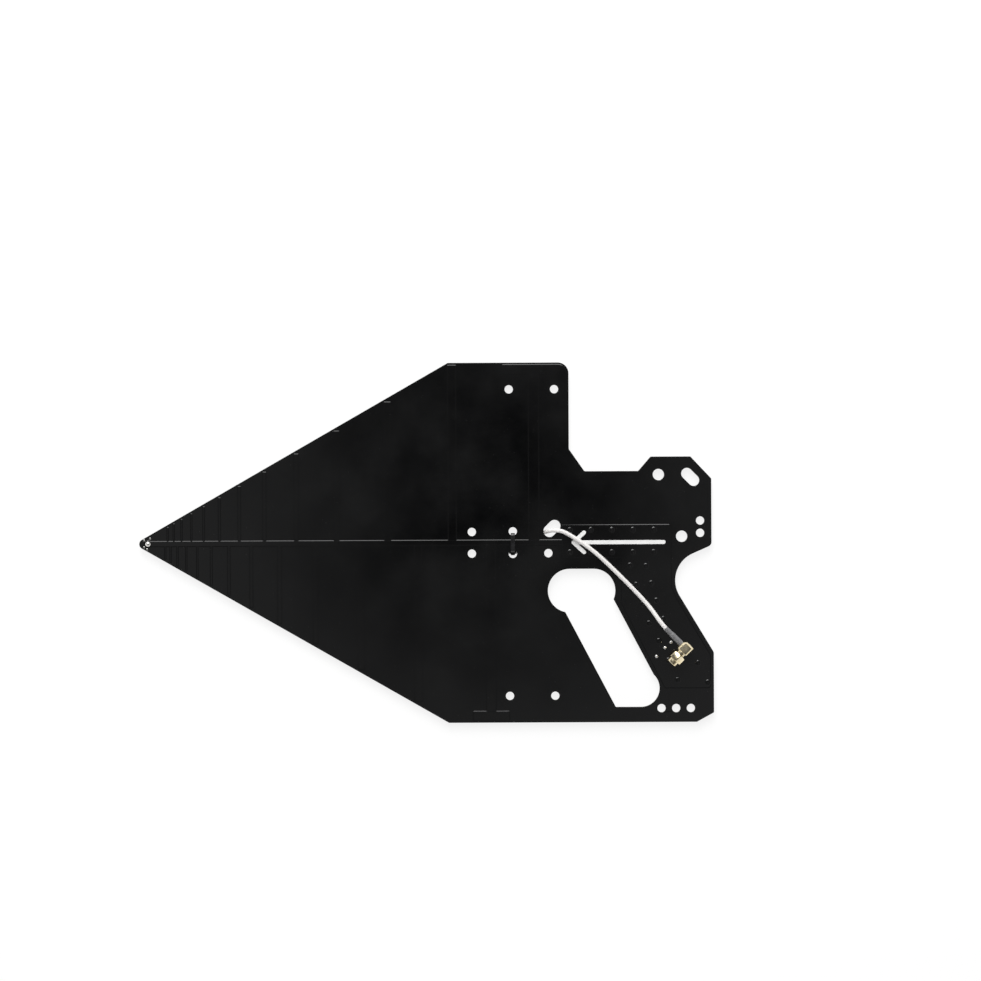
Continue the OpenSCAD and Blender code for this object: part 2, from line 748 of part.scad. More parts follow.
// The cable tie: a strap round the cable and the web between its two holes, and its head
module cable_tie() {
    half = tie_hole_gap / 2 - sqrt(pow(hole_r - tie_gap, 2) - pow(tie_w / 2, 2));
    top = front_z + copper_t + tie_gap;
    low = under_z - cable_r - tie_gap;
    loop = [[half, top, 0.3], [-half, top, 0.3], [-half, back_z - 0.4, 0.3], [-cable_r, low, 0.8],
            [cable_r, low, 0.8], [half, back_z - 0.4, 0.3]];
    head_y = cable_r + 0.65;
    color([0.05, 0.05, 0.05])
    from_tip()
    translate([board_len - tie_hole_back, 0, 0])
    mirror([0, 1, 0])
    union() {
        translate([-tie_w / 2, 0, 0]) rotate([90, 0, 90]) linear_extrude(tie_w) difference() {
            polygon(rounded(outset(loop, tie_t)));
            polygon(rounded(loop));
        }
        difference() {
            translate([-tie_head_w / 2, head_y, 0]) rotate([90, 0, 90]) linear_extrude(tie_head_w)
                polygon(rounded([[0, 0, 0.5], [tie_head_y, 0, 0.5], [tie_head_y, tie_head_h, 0.4],
                                 [0, tie_head_h, 0.4]]));
            translate([0, 0, under_z]) rotate([0, 90, 0])
                cylinder(r = cable_r + tie_gap, h = tie_head_w + past, center = true);
        }
        translate([-tie_w / 2, head_y + tie_head_y - past, tie_t * 0.3]) cube([tie_w, past + 0.8, tie_t]);
    }
}

// The free run of the cable, from the slot to the plug
module pigtail_cable() {
    color([0.93, 0.92, 0.9])
    from_tip()
    tube(cable_route(), straight_points + held_points - 1, straight_points + len(route_back) - 1, cable_r);
}

// Places a piece of the plug: X runs out of the plug's mouth, and the cable leaves towards -Y
module on_plug() {
    from_tip(plug_z)
    translate([board_len - plug_back, plug_y, 0]) rotate([0, 0, plug_heading]) children();
}

// A form turned about the plug's cable axis, given as distance from the plug's axis and radius
module turned_cable(profile) {
    rotate([0, 0, -90]) turned_x(profile);
}

// An outline cut from both ends of the block's thickness, given from its low end to its high end
function cut_ends(low, high, low_cut, high_cut) =
    let (h = block_half)
    [[low + low_cut, -h], [high - high_cut, -h], [high, high_cut - h], [high, h - high_cut],
     [high - high_cut, h], [low + low_cut, h], [low, h - low_cut], [low, low_cut - h]];

// The corner block, before it is bored: its plan and its two side profiles
module corner_block() {
    small = 0.3;
    intersection() {
        translate([0, 0, -block]) linear_extrude(2 * block)
            polygon([[corner_cut - block_rear, -block_side], [block_front - small, -block_side],
                     [block_front, small - block_side], [block_front, block_half - small],
                     [block_front - small, block_half], [small - block_rear, block_half],
                     [-block_rear, block_half - small], [-block_rear, corner_cut - block_side]]);
        translate([0, block, 0]) rotate([90, 0, 0]) linear_extrude(2 * block)
            polygon(cut_ends(-block_rear, block_front, block_cut, small));
        translate([-block, 0, 0]) rotate([90, 0, 90]) linear_extrude(2 * block)
            polygon(cut_ends(-block_side, block_half, block_cut, block_cut * 0.9));
    }
}

module plug_body() {
    color([0.83, 0.72, 0.42])
    on_plug()
    difference() {
        union() {
            corner_block();
            turned_x([[0, 0], [0, shoulder_r], [nut_x - 0.35, shoulder_r], [nut_x - 0.15, shoulder_r - 0.2],
                      [nut_x - 0.15, neck_r], [ring_x, neck_r], [ring_x, groove_r],
                      [ring_x + ring_t, groove_r], [ring_x + ring_t, neck_r], [flange_x, neck_r],
                      [flange_x, flange_r], [gasket_x, flange_r], [gasket_x, contact_r],
                      [mating_x, contact_r], [mating_x, 0]]);
            turned_cable([[0, 0], [0, cable_r], [block_side + stem_len, cable_r],
                          [block_side + stem_len, 0]]);
        }
        turned_x([[past, 0], [past, insulator_r], [mating_x + past, insulator_r], [mating_x + past, 0]]);
        turned_x([[-block_rear - past, 0], [-block_rear - past, cap_r], [cap_seat - block_rear, cap_r],
                  [cap_seat - block_rear, 0]]);
    }
}

module plug_rear_cap() {
    rear = -block_rear - cap_proud;
    color([0.86, 0.76, 0.47])
    on_plug()
    turned_x([[rear, 0], [rear, cap_r - 0.2], [-block_rear, cap_r], [cap_seat - block_rear, cap_r],
              [cap_seat - block_rear, 0]]);
}

// The hexagon nut with its round nose, its rear lip and its chamfered ends
module coupling_nut() {
    end = nut_x + nut_len;
    nose_x = end - nose_len;
    flat_r = nut_af / 2;
    nut_cut = 0.35;
    color([0.88, 0.77, 0.45])
    on_plug()
    difference() {
        union() {
            intersection() {
                translate([nut_x, 0, 0]) rotate([0, 90, 0]) rotate([0, 0, -nut_turn])
                    cylinder(r = nut_af / sqrt(3), h = nose_x - nut_x, $fn = 6);
                rotate([17, 0, 0])
                    turned_x([[nut_x - past, 0], [nut_x - past, flat_r - 0.1], [nut_x, flat_r - 0.1],
                              [nut_x + nut_cut, nut_corner_r], [nose_x - nut_cut, nut_corner_r],
                              [nose_x, flat_r - 0.1], [nose_x + past, flat_r - 0.1], [nose_x + past, 0]]);
            }
            rotate([17, 0, 0])
                turned_x([[nose_x - past, 0], [nose_x - past, nose_r], [end - 0.3, nose_r],
                          [end, nose_r - 0.2], [end, 0]]);
        }
        rotate([23, 0, 0])
            turned_x([[nut_x - past, 0], [nut_x - past, neck_r + nut_play], [lip_x, neck_r + nut_play],
                      [lip_x, nut_bore_r], [end - 0.2, nut_bore_r], [end, nut_bore_r + 0.15],
                      [end + past, nut_bore_r + 0.15], [end + past, 0]]);
    }
}

// The split ring that keeps the nut on the neck
module snap_ring() {
    color([0.8, 0.7, 0.4])
    on_plug()
    difference() {
        turned_x([[ring_x, groove_r], [ring_x, ring_out_r], [ring_x + ring_t, ring_out_r],
                  [ring_x + ring_t, groove_r]]);
        translate([ring_x - past, 0, -0.3]) cube([ring_t + 2 * past, ring_out_r + past, 0.6]);
    }
}

module plug_gasket() {
    color([0.75, 0.3, 0.22])
    on_plug()
    turned_x([[gasket_x, contact_r], [gasket_x, flange_r], [gasket_x + gasket_t, flange_r],
              [gasket_x + gasket_t, contact_r]]);
}

module plug_insulator() {
    color([0.95, 0.95, 0.94])
    on_plug()
    turned_x([[past, pin_r], [past, insulator_r], [mating_x, insulator_r], [mating_x, pin_r]]);
}

module plug_pin() {
    color([0.9, 0.79, 0.46])
    on_plug()
    turned_x([[past, 0], [past, pin_r], [mating_x + pin_out - 0.5, pin_r],
              [mating_x + pin_out, pin_r * 0.4], [mating_x + pin_out, 0]]);
}

module crimp_ferrule() {
    start = block_side + 0.05;
    end = start + ferrule_len;
    color([0.85, 0.74, 0.44])
    on_plug()
    turned_cable([[start, ferrule_in_r], [start, ferrule_r], [end, ferrule_r], [end, ferrule_in_r]]);
}

// The shrink sleeve steps down from the ferrule to the cable
module shrink_sleeve() {
    start = block_side + 0.05;
    end = start + sleeve_len;
    step = 0.8;
    big = ferrule_r + 0.02;
    small = cable_r + cable_gap;
    color([0.45, 0.45, 0.47])
    on_plug()
    turned_cable([[start, big], [start, big + sleeve_wall], [sleeve_step_y, big + sleeve_wall],
                  [sleeve_step_y + step, small + sleeve_wall], [end, small + sleeve_wall], [end, small],
                  [sleeve_step_y + step, small], [sleeve_step_y, big]]);
}

board();
front_copper();
back_copper();
front_vias();
back_vias();
tip_pads();
tinned_spots();
direction_arrow();
feed_cable();
cable_braid();
cable_dielectric();
centre_conductor();
feed_solder();
braid_solder();
cable_tie();
pigtail_cable();
shrink_sleeve();
crimp_ferrule();
plug_body();
plug_rear_cap();
coupling_nut();
snap_ring();
plug_gasket();
plug_insulator();
plug_pin();
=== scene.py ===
"""Looks of a hand-held log periodic antenna, built round its packed construction.

Everything is in metres, in the frame of the construction: X runs along the boom from the tip, Y across
the wings, and Z out of the board's front. Each operator makes one piece, or one group of like pieces.
"""
import json
import math

import bmesh
import bpy
from bpy.props import FloatProperty, FloatVectorProperty, IntProperty, PointerProperty
from mathutils import Matrix, Vector


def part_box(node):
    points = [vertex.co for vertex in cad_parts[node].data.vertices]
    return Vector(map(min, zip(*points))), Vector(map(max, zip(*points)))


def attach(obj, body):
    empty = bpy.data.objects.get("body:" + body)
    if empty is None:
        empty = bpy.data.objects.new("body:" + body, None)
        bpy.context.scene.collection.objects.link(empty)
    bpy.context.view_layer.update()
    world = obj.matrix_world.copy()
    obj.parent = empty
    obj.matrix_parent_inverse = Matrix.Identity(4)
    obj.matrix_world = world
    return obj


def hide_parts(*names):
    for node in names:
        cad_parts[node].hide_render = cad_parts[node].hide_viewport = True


bl_info = {
    "name": "Log Periodic Antenna",
    "version": (1, 0, 0),
    "blender": (4, 5, 0),
    "location": "3D View > Sidebar > Antenna",
    "description": "Dresses the packed construction of a printed hand-held antenna",
    "category": "Object",
}

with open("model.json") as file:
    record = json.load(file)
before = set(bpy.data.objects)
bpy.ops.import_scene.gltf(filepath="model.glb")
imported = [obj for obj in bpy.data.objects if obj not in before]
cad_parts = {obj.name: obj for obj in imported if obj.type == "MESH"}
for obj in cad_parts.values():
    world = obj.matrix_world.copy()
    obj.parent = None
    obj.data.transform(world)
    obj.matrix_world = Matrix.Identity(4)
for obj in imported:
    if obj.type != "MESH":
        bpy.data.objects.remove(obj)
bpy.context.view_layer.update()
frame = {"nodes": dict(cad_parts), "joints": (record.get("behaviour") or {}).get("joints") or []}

# The board's place, and the levels of what lies on it and under it
BOARD_LOW, BOARD_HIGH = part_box("board")
TIP_X = BOARD_LOW.x
HEEL_X = BOARD_HIGH.x
BACK_Z = BOARD_LOW.z
FRONT_Z = BOARD_HIGH.z
WING_Y = BOARD_HIGH.y
COPPER_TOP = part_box("front_copper")[1].z
COPPER_H = COPPER_TOP - FRONT_Z
VIA_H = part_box("front_vias")[1].z - COPPER_TOP

# The plug's own axes: X out of its mouth, and its cable leaves towards -Y
NUT_JOINT = next(joint for joint in frame["joints"] if joint["name"] == "nut_turn")
MOUTH = Vector(NUT_JOINT["axis"]).normalized()
PLUG_CENTRE = Vector(NUT_JOINT["pos_m"])
PLUG = Matrix.Translation(PLUG_CENTRE) @ MOUTH.to_track_quat("X", "Z").to_matrix().to_4x4()
CABLE_WAY = PLUG.to_3x3() @ Vector((0, -1, 0))

# Turns a front face's relief over to the back face, about the boom
TO_BACK = Matrix.Translation((0, 0, BACK_Z)) @ Matrix.Rotation(math.pi, 4, "X")
TO_FRONT = Matrix.Translation((0, 0, FRONT_Z))

MICRON = 1e-6
ROUND = 2 * math.pi


def size(name, description, default):
    """A length in metres that a user may change"""
    return FloatProperty(
        name=name, description=description, default=default, min=0, unit="LENGTH", precision=5)


def tint(name, description, default):
    """A colour that a user may change"""
    return FloatVectorProperty(
        name=name, description=description, default=default, size=3, min=0, max=1, subtype="COLOR")


class ArraySizes(bpy.types.PropertyGroup):
    """The printed dipole array, measured along the boom from the tip"""

    dipoles: IntProperty(name="Dipoles", description="Dipoles on each side of the boom", default=13, min=1)
    ratio: FloatProperty(
        name="Ratio", description="Distance of a dipole from the apex over that of the next longer one",
        default=0.79, min=0.5, max=0.95)
    apex: size("Apex", "Distance from the tip to the apex of the pattern", 0.0033)
    longest: size("Longest", "Distance from the apex to the longest dipole", 0.2336)
    arm_share: FloatProperty(
        name="Arm share", description="Width of an arm over its distance from the apex", default=0.027, min=0)
    narrowest: size("Narrowest arm", "Width of the narrowest arm", 0.0008)
    strip: size("Boom strip", "Width of the strip along the boom", 0.003)
    rim: size("Rim", "Bare rim between the copper and the edge of the board", 0.0012)
    shoulder: size("Shoulder", "Distance from the tip to the shoulders", 0.1855)
    tip_radius: size("Tip radius", "Radius of the rounded tip", 0.003)
    wing_rear: size("Wing rear", "Distance from the tip to the wing's rear edge", 0.258)
    wing_radius: size("Wing radius", "Radius of the wing's rear corner", 0.0065)
    long_load: size("Long end load", "Length of the end load on the longest dipole", 0.0384)
    short_load: size("Short end load", "Length of the end load on the next dipole", 0.0216)
    load_width: size("End load width", "Width of the end loads", 0.0056)
    slope_out: size("Slope outside", "How far the mask slopes outside the copper's edge", 0.00045)
    slope_in: size("Slope inside", "How far the mask slopes inside the copper's edge", 0.00025)
    feed: size("Feed", "Distance from the tip to the feed hole", 0.0052)
    feed_pad: size("Feed pad", "Radius of the pad at the feed hole", 0.002)


class CableSizes(bpy.types.PropertyGroup):
    """The coaxial cable, its stripped end, its tie and its sleeve"""

    radius: size("Radius", "Radius of the cable's jacket", 0.00125)
    jacket_end: size("Jacket end", "Distance from the tip to the end of the jacket", 0.0155)
    straight_end: size("Straight end", "Distance from the heel to the end of the straight run", 0.1193)
    gap: size("Gap", "Gap between the cable and what it lies on", 0.00007)
    braid: size("Bare braid", "Length of bare braid", 0.0056)
    braid_radius: size("Braid radius", "Radius of the braid", 0.001)
    tie_hole: size("Tie holes", "Distance from the heel to the tie's holes", 0.1203)
    tie_gap: size("Tie hole gap", "Distance between the tie's holes", 0.0135)
    strap_width: size("Strap width", "Width of the tie's strap", 0.0025)
    strap: size("Strap thickness", "Thickness of the tie's strap", 0.0011)
    sleeve: size("Sleeve radius", "Outer radius of the sleeve round the ferrule", 0.00172)
    sleeve_end: size("Sleeve end radius", "Outer radius of the sleeve round the cable", 0.00152)
    sleeve_length: size("Sleeve length", "Length of the sleeve", 0.0133)
    ferrule: size("Ferrule length", "Length of the ferrule inside the sleeve", 0.0075)


class PlugSizes(bpy.types.PropertyGroup):
    """The threaded plug, along its own axis"""

    block_side: size("Block side", "From the plug's axis to the side that the cable enters", 0.00385)
    thread_pitch: size("Thread pitch", "Pitch of the nut's thread", 0.0007056)
    thread_root: size("Thread root", "Radius at the root of the nut's thread", 0.0031)
    thread_crest: size("Thread crest", "Radius at the crest of the nut's thread", 0.0029)
    thread_from: size("Thread start", "From the cable's axis to the start of the thread", 0.0078)
    thread_to: size("Thread end", "From the cable's axis to the end of the thread", 0.0121)


class Finishes(bpy.types.PropertyGroup):
    """Colours of the pieces"""

    mask: tint("Mask", "Black mask over bare laminate", (0.0012, 0.0013, 0.0015))
    mask_worn: tint("Handled mask", "Black mask where it has been handled", (0.0032, 0.0033, 0.0034))
    copper_mask: tint("Mask over copper", "Black mask over copper", (0.0018, 0.0018, 0.002))
    laminate: tint("Laminate", "Cut edge of the laminate", (0.11, 0.095, 0.06))
    ink: tint("Ink", "Printed arrow", (0.95, 0.95, 0.94))
    jacket: tint("Jacket", "Jacket of the cable", (0.95, 0.93, 0.92))
    tin: tint("Tin", "Solder and tinned braid", (0.78, 0.77, 0.74))
    white: tint("Insulator", "White insulator", (0.86, 0.86, 0.84))
    tie: tint("Tie", "Black cable tie", (0.005, 0.005, 0.0055))
    sleeve: tint("Sleeve", "Grey shrink sleeve", (0.2, 0.2, 0.205))
    plate: tint("Plating", "Pale gold plating of the plug", (0.83, 0.75, 0.55))
    rubber: tint("Gasket", "Rubber of the plug's gasket", (0.32, 0.09, 0.05))


# Node trees


def add_node(tree, kind, inputs=(), **settings):
    """A node with its settings, and its inputs set or linked, by place or by name"""
    made = tree.nodes.new(kind)
    for name, value in settings.items():
        setattr(made, name, value)
    for key, value in inputs.items() if isinstance(inputs, dict) else enumerate(inputs):
        if isinstance(value, bpy.types.NodeSocket):
            tree.links.new(value, made.inputs[key])
        elif value is not None:
            made.inputs[key].default_value = value
    return made


def calc(tree, operation, a, b=None, c=None):
    """A number worked out from others"""
    return add_node(tree, "ShaderNodeMath", (a, b, c), operation=operation).outputs[0]


def vector_calc(tree, operation, a, b=None):
    """A vector worked out from others"""
    return add_node(tree, "ShaderNodeVectorMath", (a, b), operation=operation).outputs[0]


def join_xyz(tree, x=0.0, y=0.0, z=0.0):
    """A vector from its three parts"""
    return add_node(tree, "ShaderNodeCombineXYZ", (x, y, z)).outputs[0]


def split_xyz(tree, vector):
    """The three parts of a vector"""
    return add_node(tree, "ShaderNodeSeparateXYZ", (vector,)).outputs


def new_group(kind, name, inputs, outputs):
    """A node group with named inputs and outputs, and the sockets inside it"""
    tree = bpy.data.node_groups.new(name, kind)
    for way, sockets in (("INPUT", inputs), ("OUTPUT", outputs)):
        for socket, form in sockets.items():
            tree.interface.new_socket(socket, in_out=way, socket_type="NodeSocket" + form)
    given = tree.nodes.new("NodeGroupInput").outputs
    result = tree.nodes.new("NodeGroupOutput").inputs
    return tree, given, result


def fill_and_end(tree, result, geometry, material):
    """Ends a geometry tree: its instances become real and take their material"""
    real = add_node(tree, "GeometryNodeRealizeInstances", (geometry,)).outputs[0]
    painted = add_node(tree, "GeometryNodeSetMaterial", {"Geometry": real, "Material": material})
    tree.links.new(painted.outputs[0], result["Geometry"])


def node_mesh(tree, name, base, values):
    """The plain mesh that a geometry tree makes of a base mesh, with its named inputs set"""
    holder = bpy.data.objects.new(name, base)
    bpy.context.scene.collection.objects.link(holder)
    modifier = holder.modifiers.new(name, "NODES")
    modifier.node_group = tree
    keys = {item.name: item.identifier for item in tree.interface.items_tree if item.in_out == "INPUT"}
    for socket, value in values.items():
        modifier[keys[socket]] = value
    mesh = shown_mesh(holder)
    bpy.data.objects.remove(holder)
    return mesh


def shown_mesh(holder):
    """The plain mesh of what an object's modifiers show"""
    graph = bpy.context.evaluated_depsgraph_get()
    return bpy.data.meshes.new_from_object(holder.evaluated_get(graph), depsgraph=graph)


def profile_curve(tree, value, points):
    """A number looked up on a drawn curve"""
    made = add_node(tree, "ShaderNodeFloatCurve", {"Value": value})
    curve = made.mapping.curves[0]
    for place, point in enumerate(points):
        if place < 2:
            curve.points[place].location = point
        else:
            curve.points.new(*point)
    made.mapping.update()
    return made.outputs[0]


# Meshes


def mesh_of(shape, name):
    """A bmesh as a mesh, with its faces turned outwards"""
    bmesh.ops.recalc_face_normals(shape, faces=shape.faces)
    mesh = bpy.data.meshes.new(name)
    shape.to_mesh(mesh)
    shape.free()
    return mesh


def smooth(mesh, sharp=25):
    """Smooth shading, but for the edges sharper than an angle in degrees"""
    mesh.shade_smooth()
    mesh.set_sharp_from_angle(angle=math.radians(sharp))


def piece(name, mesh, materials, body, slot, *nodes):
    """A finished piece that rides on a body and stands for nodes of the construction"""
    mesh.materials.clear()
    for material in materials:
        mesh.materials.append(material)
    made = bpy.data.objects.new(name, mesh)
    bpy.context.scene.collection.objects.link(made)
    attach(made, body)
    if nodes:
        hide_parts(*nodes)
    return made


def whole_faces(node):
    """A copy of a node's mesh, joined up and with whole flat faces"""
    shape = bmesh.new()
    shape.from_mesh(frame["nodes"][node].data)
    bmesh.ops.remove_doubles(shape, verts=shape.verts, dist=MICRON)
    bmesh.ops.dissolve_limit(
        shape, angle_limit=math.radians(0.3), verts=shape.verts, edges=shape.edges)
    mesh = bpy.data.meshes.new(node)
    shape.verts.index_update()
    mesh.from_pydata(
        [vertex.co for vertex in shape.verts], [], [[v.index for v in face.verts] for face in shape.faces])
    shape.free()
    return mesh


def broken_edges(mesh, width, segments=2, angle=40):
    """A mesh with its sharp edges broken by a small round"""
    holder = bpy.data.objects.new("edges", mesh)
    bpy.context.scene.collection.objects.link(holder)
    bevel = holder.modifiers.new("edges", "BEVEL")
    bevel.width = width
    bevel.segments = segments
    bevel.limit_method = "ANGLE"
    bevel.angle_limit = math.radians(angle)
    bevel.use_clamp_overlap = False
    result = shown_mesh(holder)
    bpy.data.objects.remove(holder)
    return result


def rings_to_shape(shape, rings, closed=False, caps=True, uv=None):
    """Walls between rings of points, with caps at the ends or joined end to end"""
    layer = shape.loops.layers.uv.verify() if uv else None
    made = [[shape.verts.new(point) for point in ring] for ring in rings]
    count = len(made[0])
    for place in range(len(made) if closed else len(made) - 1):
        here, there = made[place], made[(place + 1) % len(made)]
        for side in range(count):
            after = (side + 1) % count
            face = shape.faces.new((here[side], there[side], there[after], here[after]))
            if uv:
                ends = (uv[place], uv[place + 1], uv[place + 1], uv[place])
                sides = (side, side, side + 1, side + 1)
                for loop, along, around in zip(face.loops, ends, sides):
                    loop[layer].uv = (around / count, along)
    if caps and not closed:
        shape.faces.new(made[0])
        shape.faces.new(made[-1])
    return made


def turned(shape, profile, place, sides=48, form=None):
    """A form turned about the X axis of a placing matrix, given as distance along it and radius"""
    rings = []
    for along, radius in profile:
        ring = []
        for side in range(sides):
            angle = ROUND * side / sides
            reach = max(radius, MICRON) * (form(along, angle) if form else 1)
            ring.append(place @ Vector((along, reach * math.cos(angle), reach * math.sin(angle))))
        rings.append(ring)
    rings_to_shape(shape, rings)


def rounded(corners, step=math.radians(10)):
    """Points of an outline whose corners are given as X, Y and radius"""
    points = []
    for place, (x, y, radius) in enumerate(corners):
        at = Vector((x, y))
        before = (Vector(corners[place - 1][:2]) - at).normalized()
        after = (Vector(corners[(place + 1) % len(corners)][:2]) - at).normalized()
        if radius == 0:
            points.append(at)
            continue
        half = before.angle(after) / 2
        middle = at + (before + after).normalized() * radius / math.sin(half)
        first = at + before * radius / math.tan(half) - middle
        turn = first.angle_signed(at + after * radius / math.tan(half) - middle)
        steps = max(2, math.ceil(abs(turn) / step))
        for count in range(steps + 1):
            points.append(middle + Matrix.Rotation(-turn * count / steps, 2) @ first)
    return points


def moved_in(points, by):
    """An outline, given anticlockwise, moved inwards by a distance"""
    moved = []
    for place, point in enumerate(points):
        before = (point - points[place - 1]).normalized()
        after = (points[(place + 1) % len(points)] - point).normalized()
        inward = Vector((-before.y - after.y, before.x + after.x)).normalized()
        moved.append(point + inward * by / max(0.3, inward.dot(Vector((-before.y, before.x)))))
    return moved


# The slope of the mask down a copper edge, as shares of its width and height
SLOPE_STEPS = 5


def slope_height(share):
    """Height of the mask over a copper edge, a share of the way up its slope"""
    u = min(1.0, share * SLOPE_STEPS / (SLOPE_STEPS - 1))
    return u * u * (3 - 2 * u)


def relief(shape, outline, place, sizes, lift=0.0):
    """A copper area under the mask: its outline with sloped sides and a flat top"""
    rings = []
    for count in range(SLOPE_STEPS + 1):
        share = count / SLOPE_STEPS
        by = sizes.slope_in * share - sizes.slope_out * (1 - share)
        height = (COPPER_H + lift + 20 * MICRON) * slope_height(share) - 20 * MICRON
        rings.append([place @ point.to_3d().xyz + place.to_3x3() @ Vector((0, 0, height))
                      for point in moved_in(outline, by)])
    rings_to_shape(shape, rings)


# Materials


def shader_groups():
    """The effects that several finishes share"""
    smudges, given, result = new_group(
        "ShaderNodeTree", "handling_smudges", {"Vector": "Vector", "Scale": "Float"}, {"Mask": "Float"})
    noise = add_node(smudges, "ShaderNodeTexNoise", {
        "Vector": given["Vector"], "Scale": given["Scale"], "Detail": 4.0, "Roughness": 0.55})
    spread = add_node(smudges, "ShaderNodeMapRange", {
        "Value": noise.outputs[0], "From Min": 0.36, "From Max": 0.68})
    smudges.links.new(spread.outputs[0], result["Mask"])

    specks, given, result = new_group(
        "ShaderNodeTree", "dust_specks",
        {"Vector": "Vector", "Scale": "Float", "Rarity": "Float"}, {"Mask": "Float"})
    cells = add_node(specks, "ShaderNodeTexVoronoi", {
        "Vector": given["Vector"], "Scale": given["Scale"], "Randomness": 1.0})
    kept = calc(specks, "GREATER_THAN", split_xyz(specks, cells.outputs["Color"])[0], given["Rarity"])
    near = calc(specks, "LESS_THAN", cells.outputs["Distance"], 0.22)
    specks.links.new(calc(specks, "MULTIPLY", kept, near), result["Mask"])

    cloth, given, result = new_group(
        "ShaderNodeTree", "glass_cloth", {"Vector": "Vector", "Pitch": "Float"}, {"Height": "Float"})
    x, y, _ = split_xyz(cloth, given["Vector"])
    turn = calc(cloth, "DIVIDE", ROUND, given["Pitch"])
    warp = calc(cloth, "SINE", calc(cloth, "MULTIPLY", x, turn))
    weft = calc(cloth, "SINE", calc(cloth, "MULTIPLY", y, turn))
    cloth.links.new(calc(cloth, "MULTIPLY", warp, weft), result["Height"])

    marks, given, result = new_group(
        "ShaderNodeTree", "tool_marks",
        {"Vector": "Vector", "Scale": "Float", "Stretch": "Vector"}, {"Height": "Float"})
    drawn = vector_calc(marks, "MULTIPLY", given["Vector"], given["Stretch"])
    lines = add_node(marks, "ShaderNodeTexNoise", {
        "Vector": drawn, "Scale": given["Scale"], "Detail": 3.0, "Roughness": 0.6})
    marks.links.new(lines.outputs[0], result["Height"])


def use_group(tree, name, **inputs):
    """Places a shared effect and returns its output"""
    made = tree.nodes.new("ShaderNodeGroup")
    made.node_tree = bpy.data.node_groups[name]
    for key, value in inputs.items():
        if isinstance(value, bpy.types.NodeSocket):
            tree.links.new(value, made.inputs[key])
        else:
            made.inputs[key].default_value = value
    return made.outputs[0]


def new_material(name, colour, roughness, metallic=0.0, **more):
    """A material with its shader, and the coordinates of the object it is on"""
    material = bpy.data.materials.new(name)
    material.use_nodes = True
    tree = material.node_tree
    shader = tree.nodes["Principled BSDF"]
    values = {"Base Color": (*colour, 1), "Roughness": roughness, "Metallic": metallic}
    values.update({key.replace("_", " "): value for key, value in more.items()})
    for key, value in values.items():
        shader.inputs[key].default_value = value
    where = tree.nodes.new("ShaderNodeTexCoord")
    return material, tree, shader, where.outputs


def blend_colours(tree, mask, low, high):
    """A colour between two, by a mask"""
    made = add_node(tree, "ShaderNodeMix", {0: mask}, data_type="RGBA")
    for place, value in ((6, low), (7, high)):
        if isinstance(value, bpy.types.NodeSocket):
            tree.links.new(value, made.inputs[place])
        else:
            made.inputs[place].default_value = (*value, 1)
    return made.outputs[2]


def ranged(tree, mask, low, high):
    """A number between two, by a mask"""
    return add_node(tree, "ShaderNodeMapRange", {"Value": mask, "To Min": low, "To Max": high}).outputs[0]


def bump(tree, shader, heights):
    """Stacks heights, each with its real depth in metres, into the shader's normal"""
    normal = None
    for height, depth in heights:
        made = add_node(tree, "ShaderNodeBump", {"Height": height, "Distance": depth, "Strength": 1.0})
        if normal:
            tree.links.new(normal, made.inputs["Normal"])
        normal = made.outputs[0]
    tree.links.new(normal, shader.inputs["Normal"])


def mask_finish(name, colour, worn, cloth_depth):
    """Glossy black solder mask, with handling smudges, dust and the glass cloth under it"""
    material, tree, shader, where = new_material(name, colour, 0.2)
    at = where["Object"]
    smudge = use_group(tree, "handling_smudges", Vector=at, Scale=22.0)
    dust = use_group(tree, "dust_specks", Vector=at, Scale=2300.0, Rarity=0.996)
    handled = blend_colours(tree, smudge, colour, worn)
    dusty = blend_colours(tree, calc(tree, "MULTIPLY", dust, 0.16), handled, (0.4, 0.4, 0.4))
    tree.links.new(dusty, shader.inputs["Base Color"])
    tree.links.new(ranged(tree, smudge, 0.08, 0.16), shader.inputs["Roughness"])
    peel = add_node(tree, "ShaderNodeTexNoise", {"Vector": at, "Scale": 300.0, "Detail": 1.0})
    cloth = use_group(tree, "glass_cloth", Vector=at, Pitch=0.0011)
    bump(tree, shader, [(cloth, cloth_depth), (peel.outputs[0], 4 * MICRON)])
    return material


def laminate_finish(colour):
    """The routed edge of the laminate: plies of glass, rough and a little dusty"""
    material, tree, shader, where = new_material("routed_laminate", colour, 0.75)
    x, y, z = split_xyz(tree, where["Object"])
    ply = calc(tree, "SINE", calc(tree, "MULTIPLY", z, ROUND / 0.0002))
    fibre = use_group(tree, "tool_marks", Vector=where["Object"], Scale=1.0, Stretch=(2500, 2500, 9000))
    mask = calc(tree, "MULTIPLY", calc(tree, "MULTIPLY_ADD", ply, 0.5, 0.5), fibre)
    dark = [part * 0.3 for part in colour]
    tree.links.new(blend_colours(tree, mask, dark, colour), shader.inputs["Base Color"])
    bump(tree, shader, [(fibre, 20 * MICRON)])
    return material


def ink_finish(colour):
    """Printed white ink with a few pinholes"""
    material, tree, shader, where = new_material("arrow_ink", colour, 0.5)
    holes = use_group(tree, "dust_specks", Vector=where["Object"], Scale=2600.0, Rarity=0.93)
    cloudy = use_group(tree, "handling_smudges", Vector=where["Object"], Scale=160.0)
    pale = blend_colours(tree, cloudy, [part * 0.93 for part in colour], colour)
    tree.links.new(blend_colours(tree, holes, pale, (0.2, 0.2, 0.2)), shader.inputs["Base Color"])
    bump(tree, shader, [(cloudy, 10 * MICRON)])
    return material


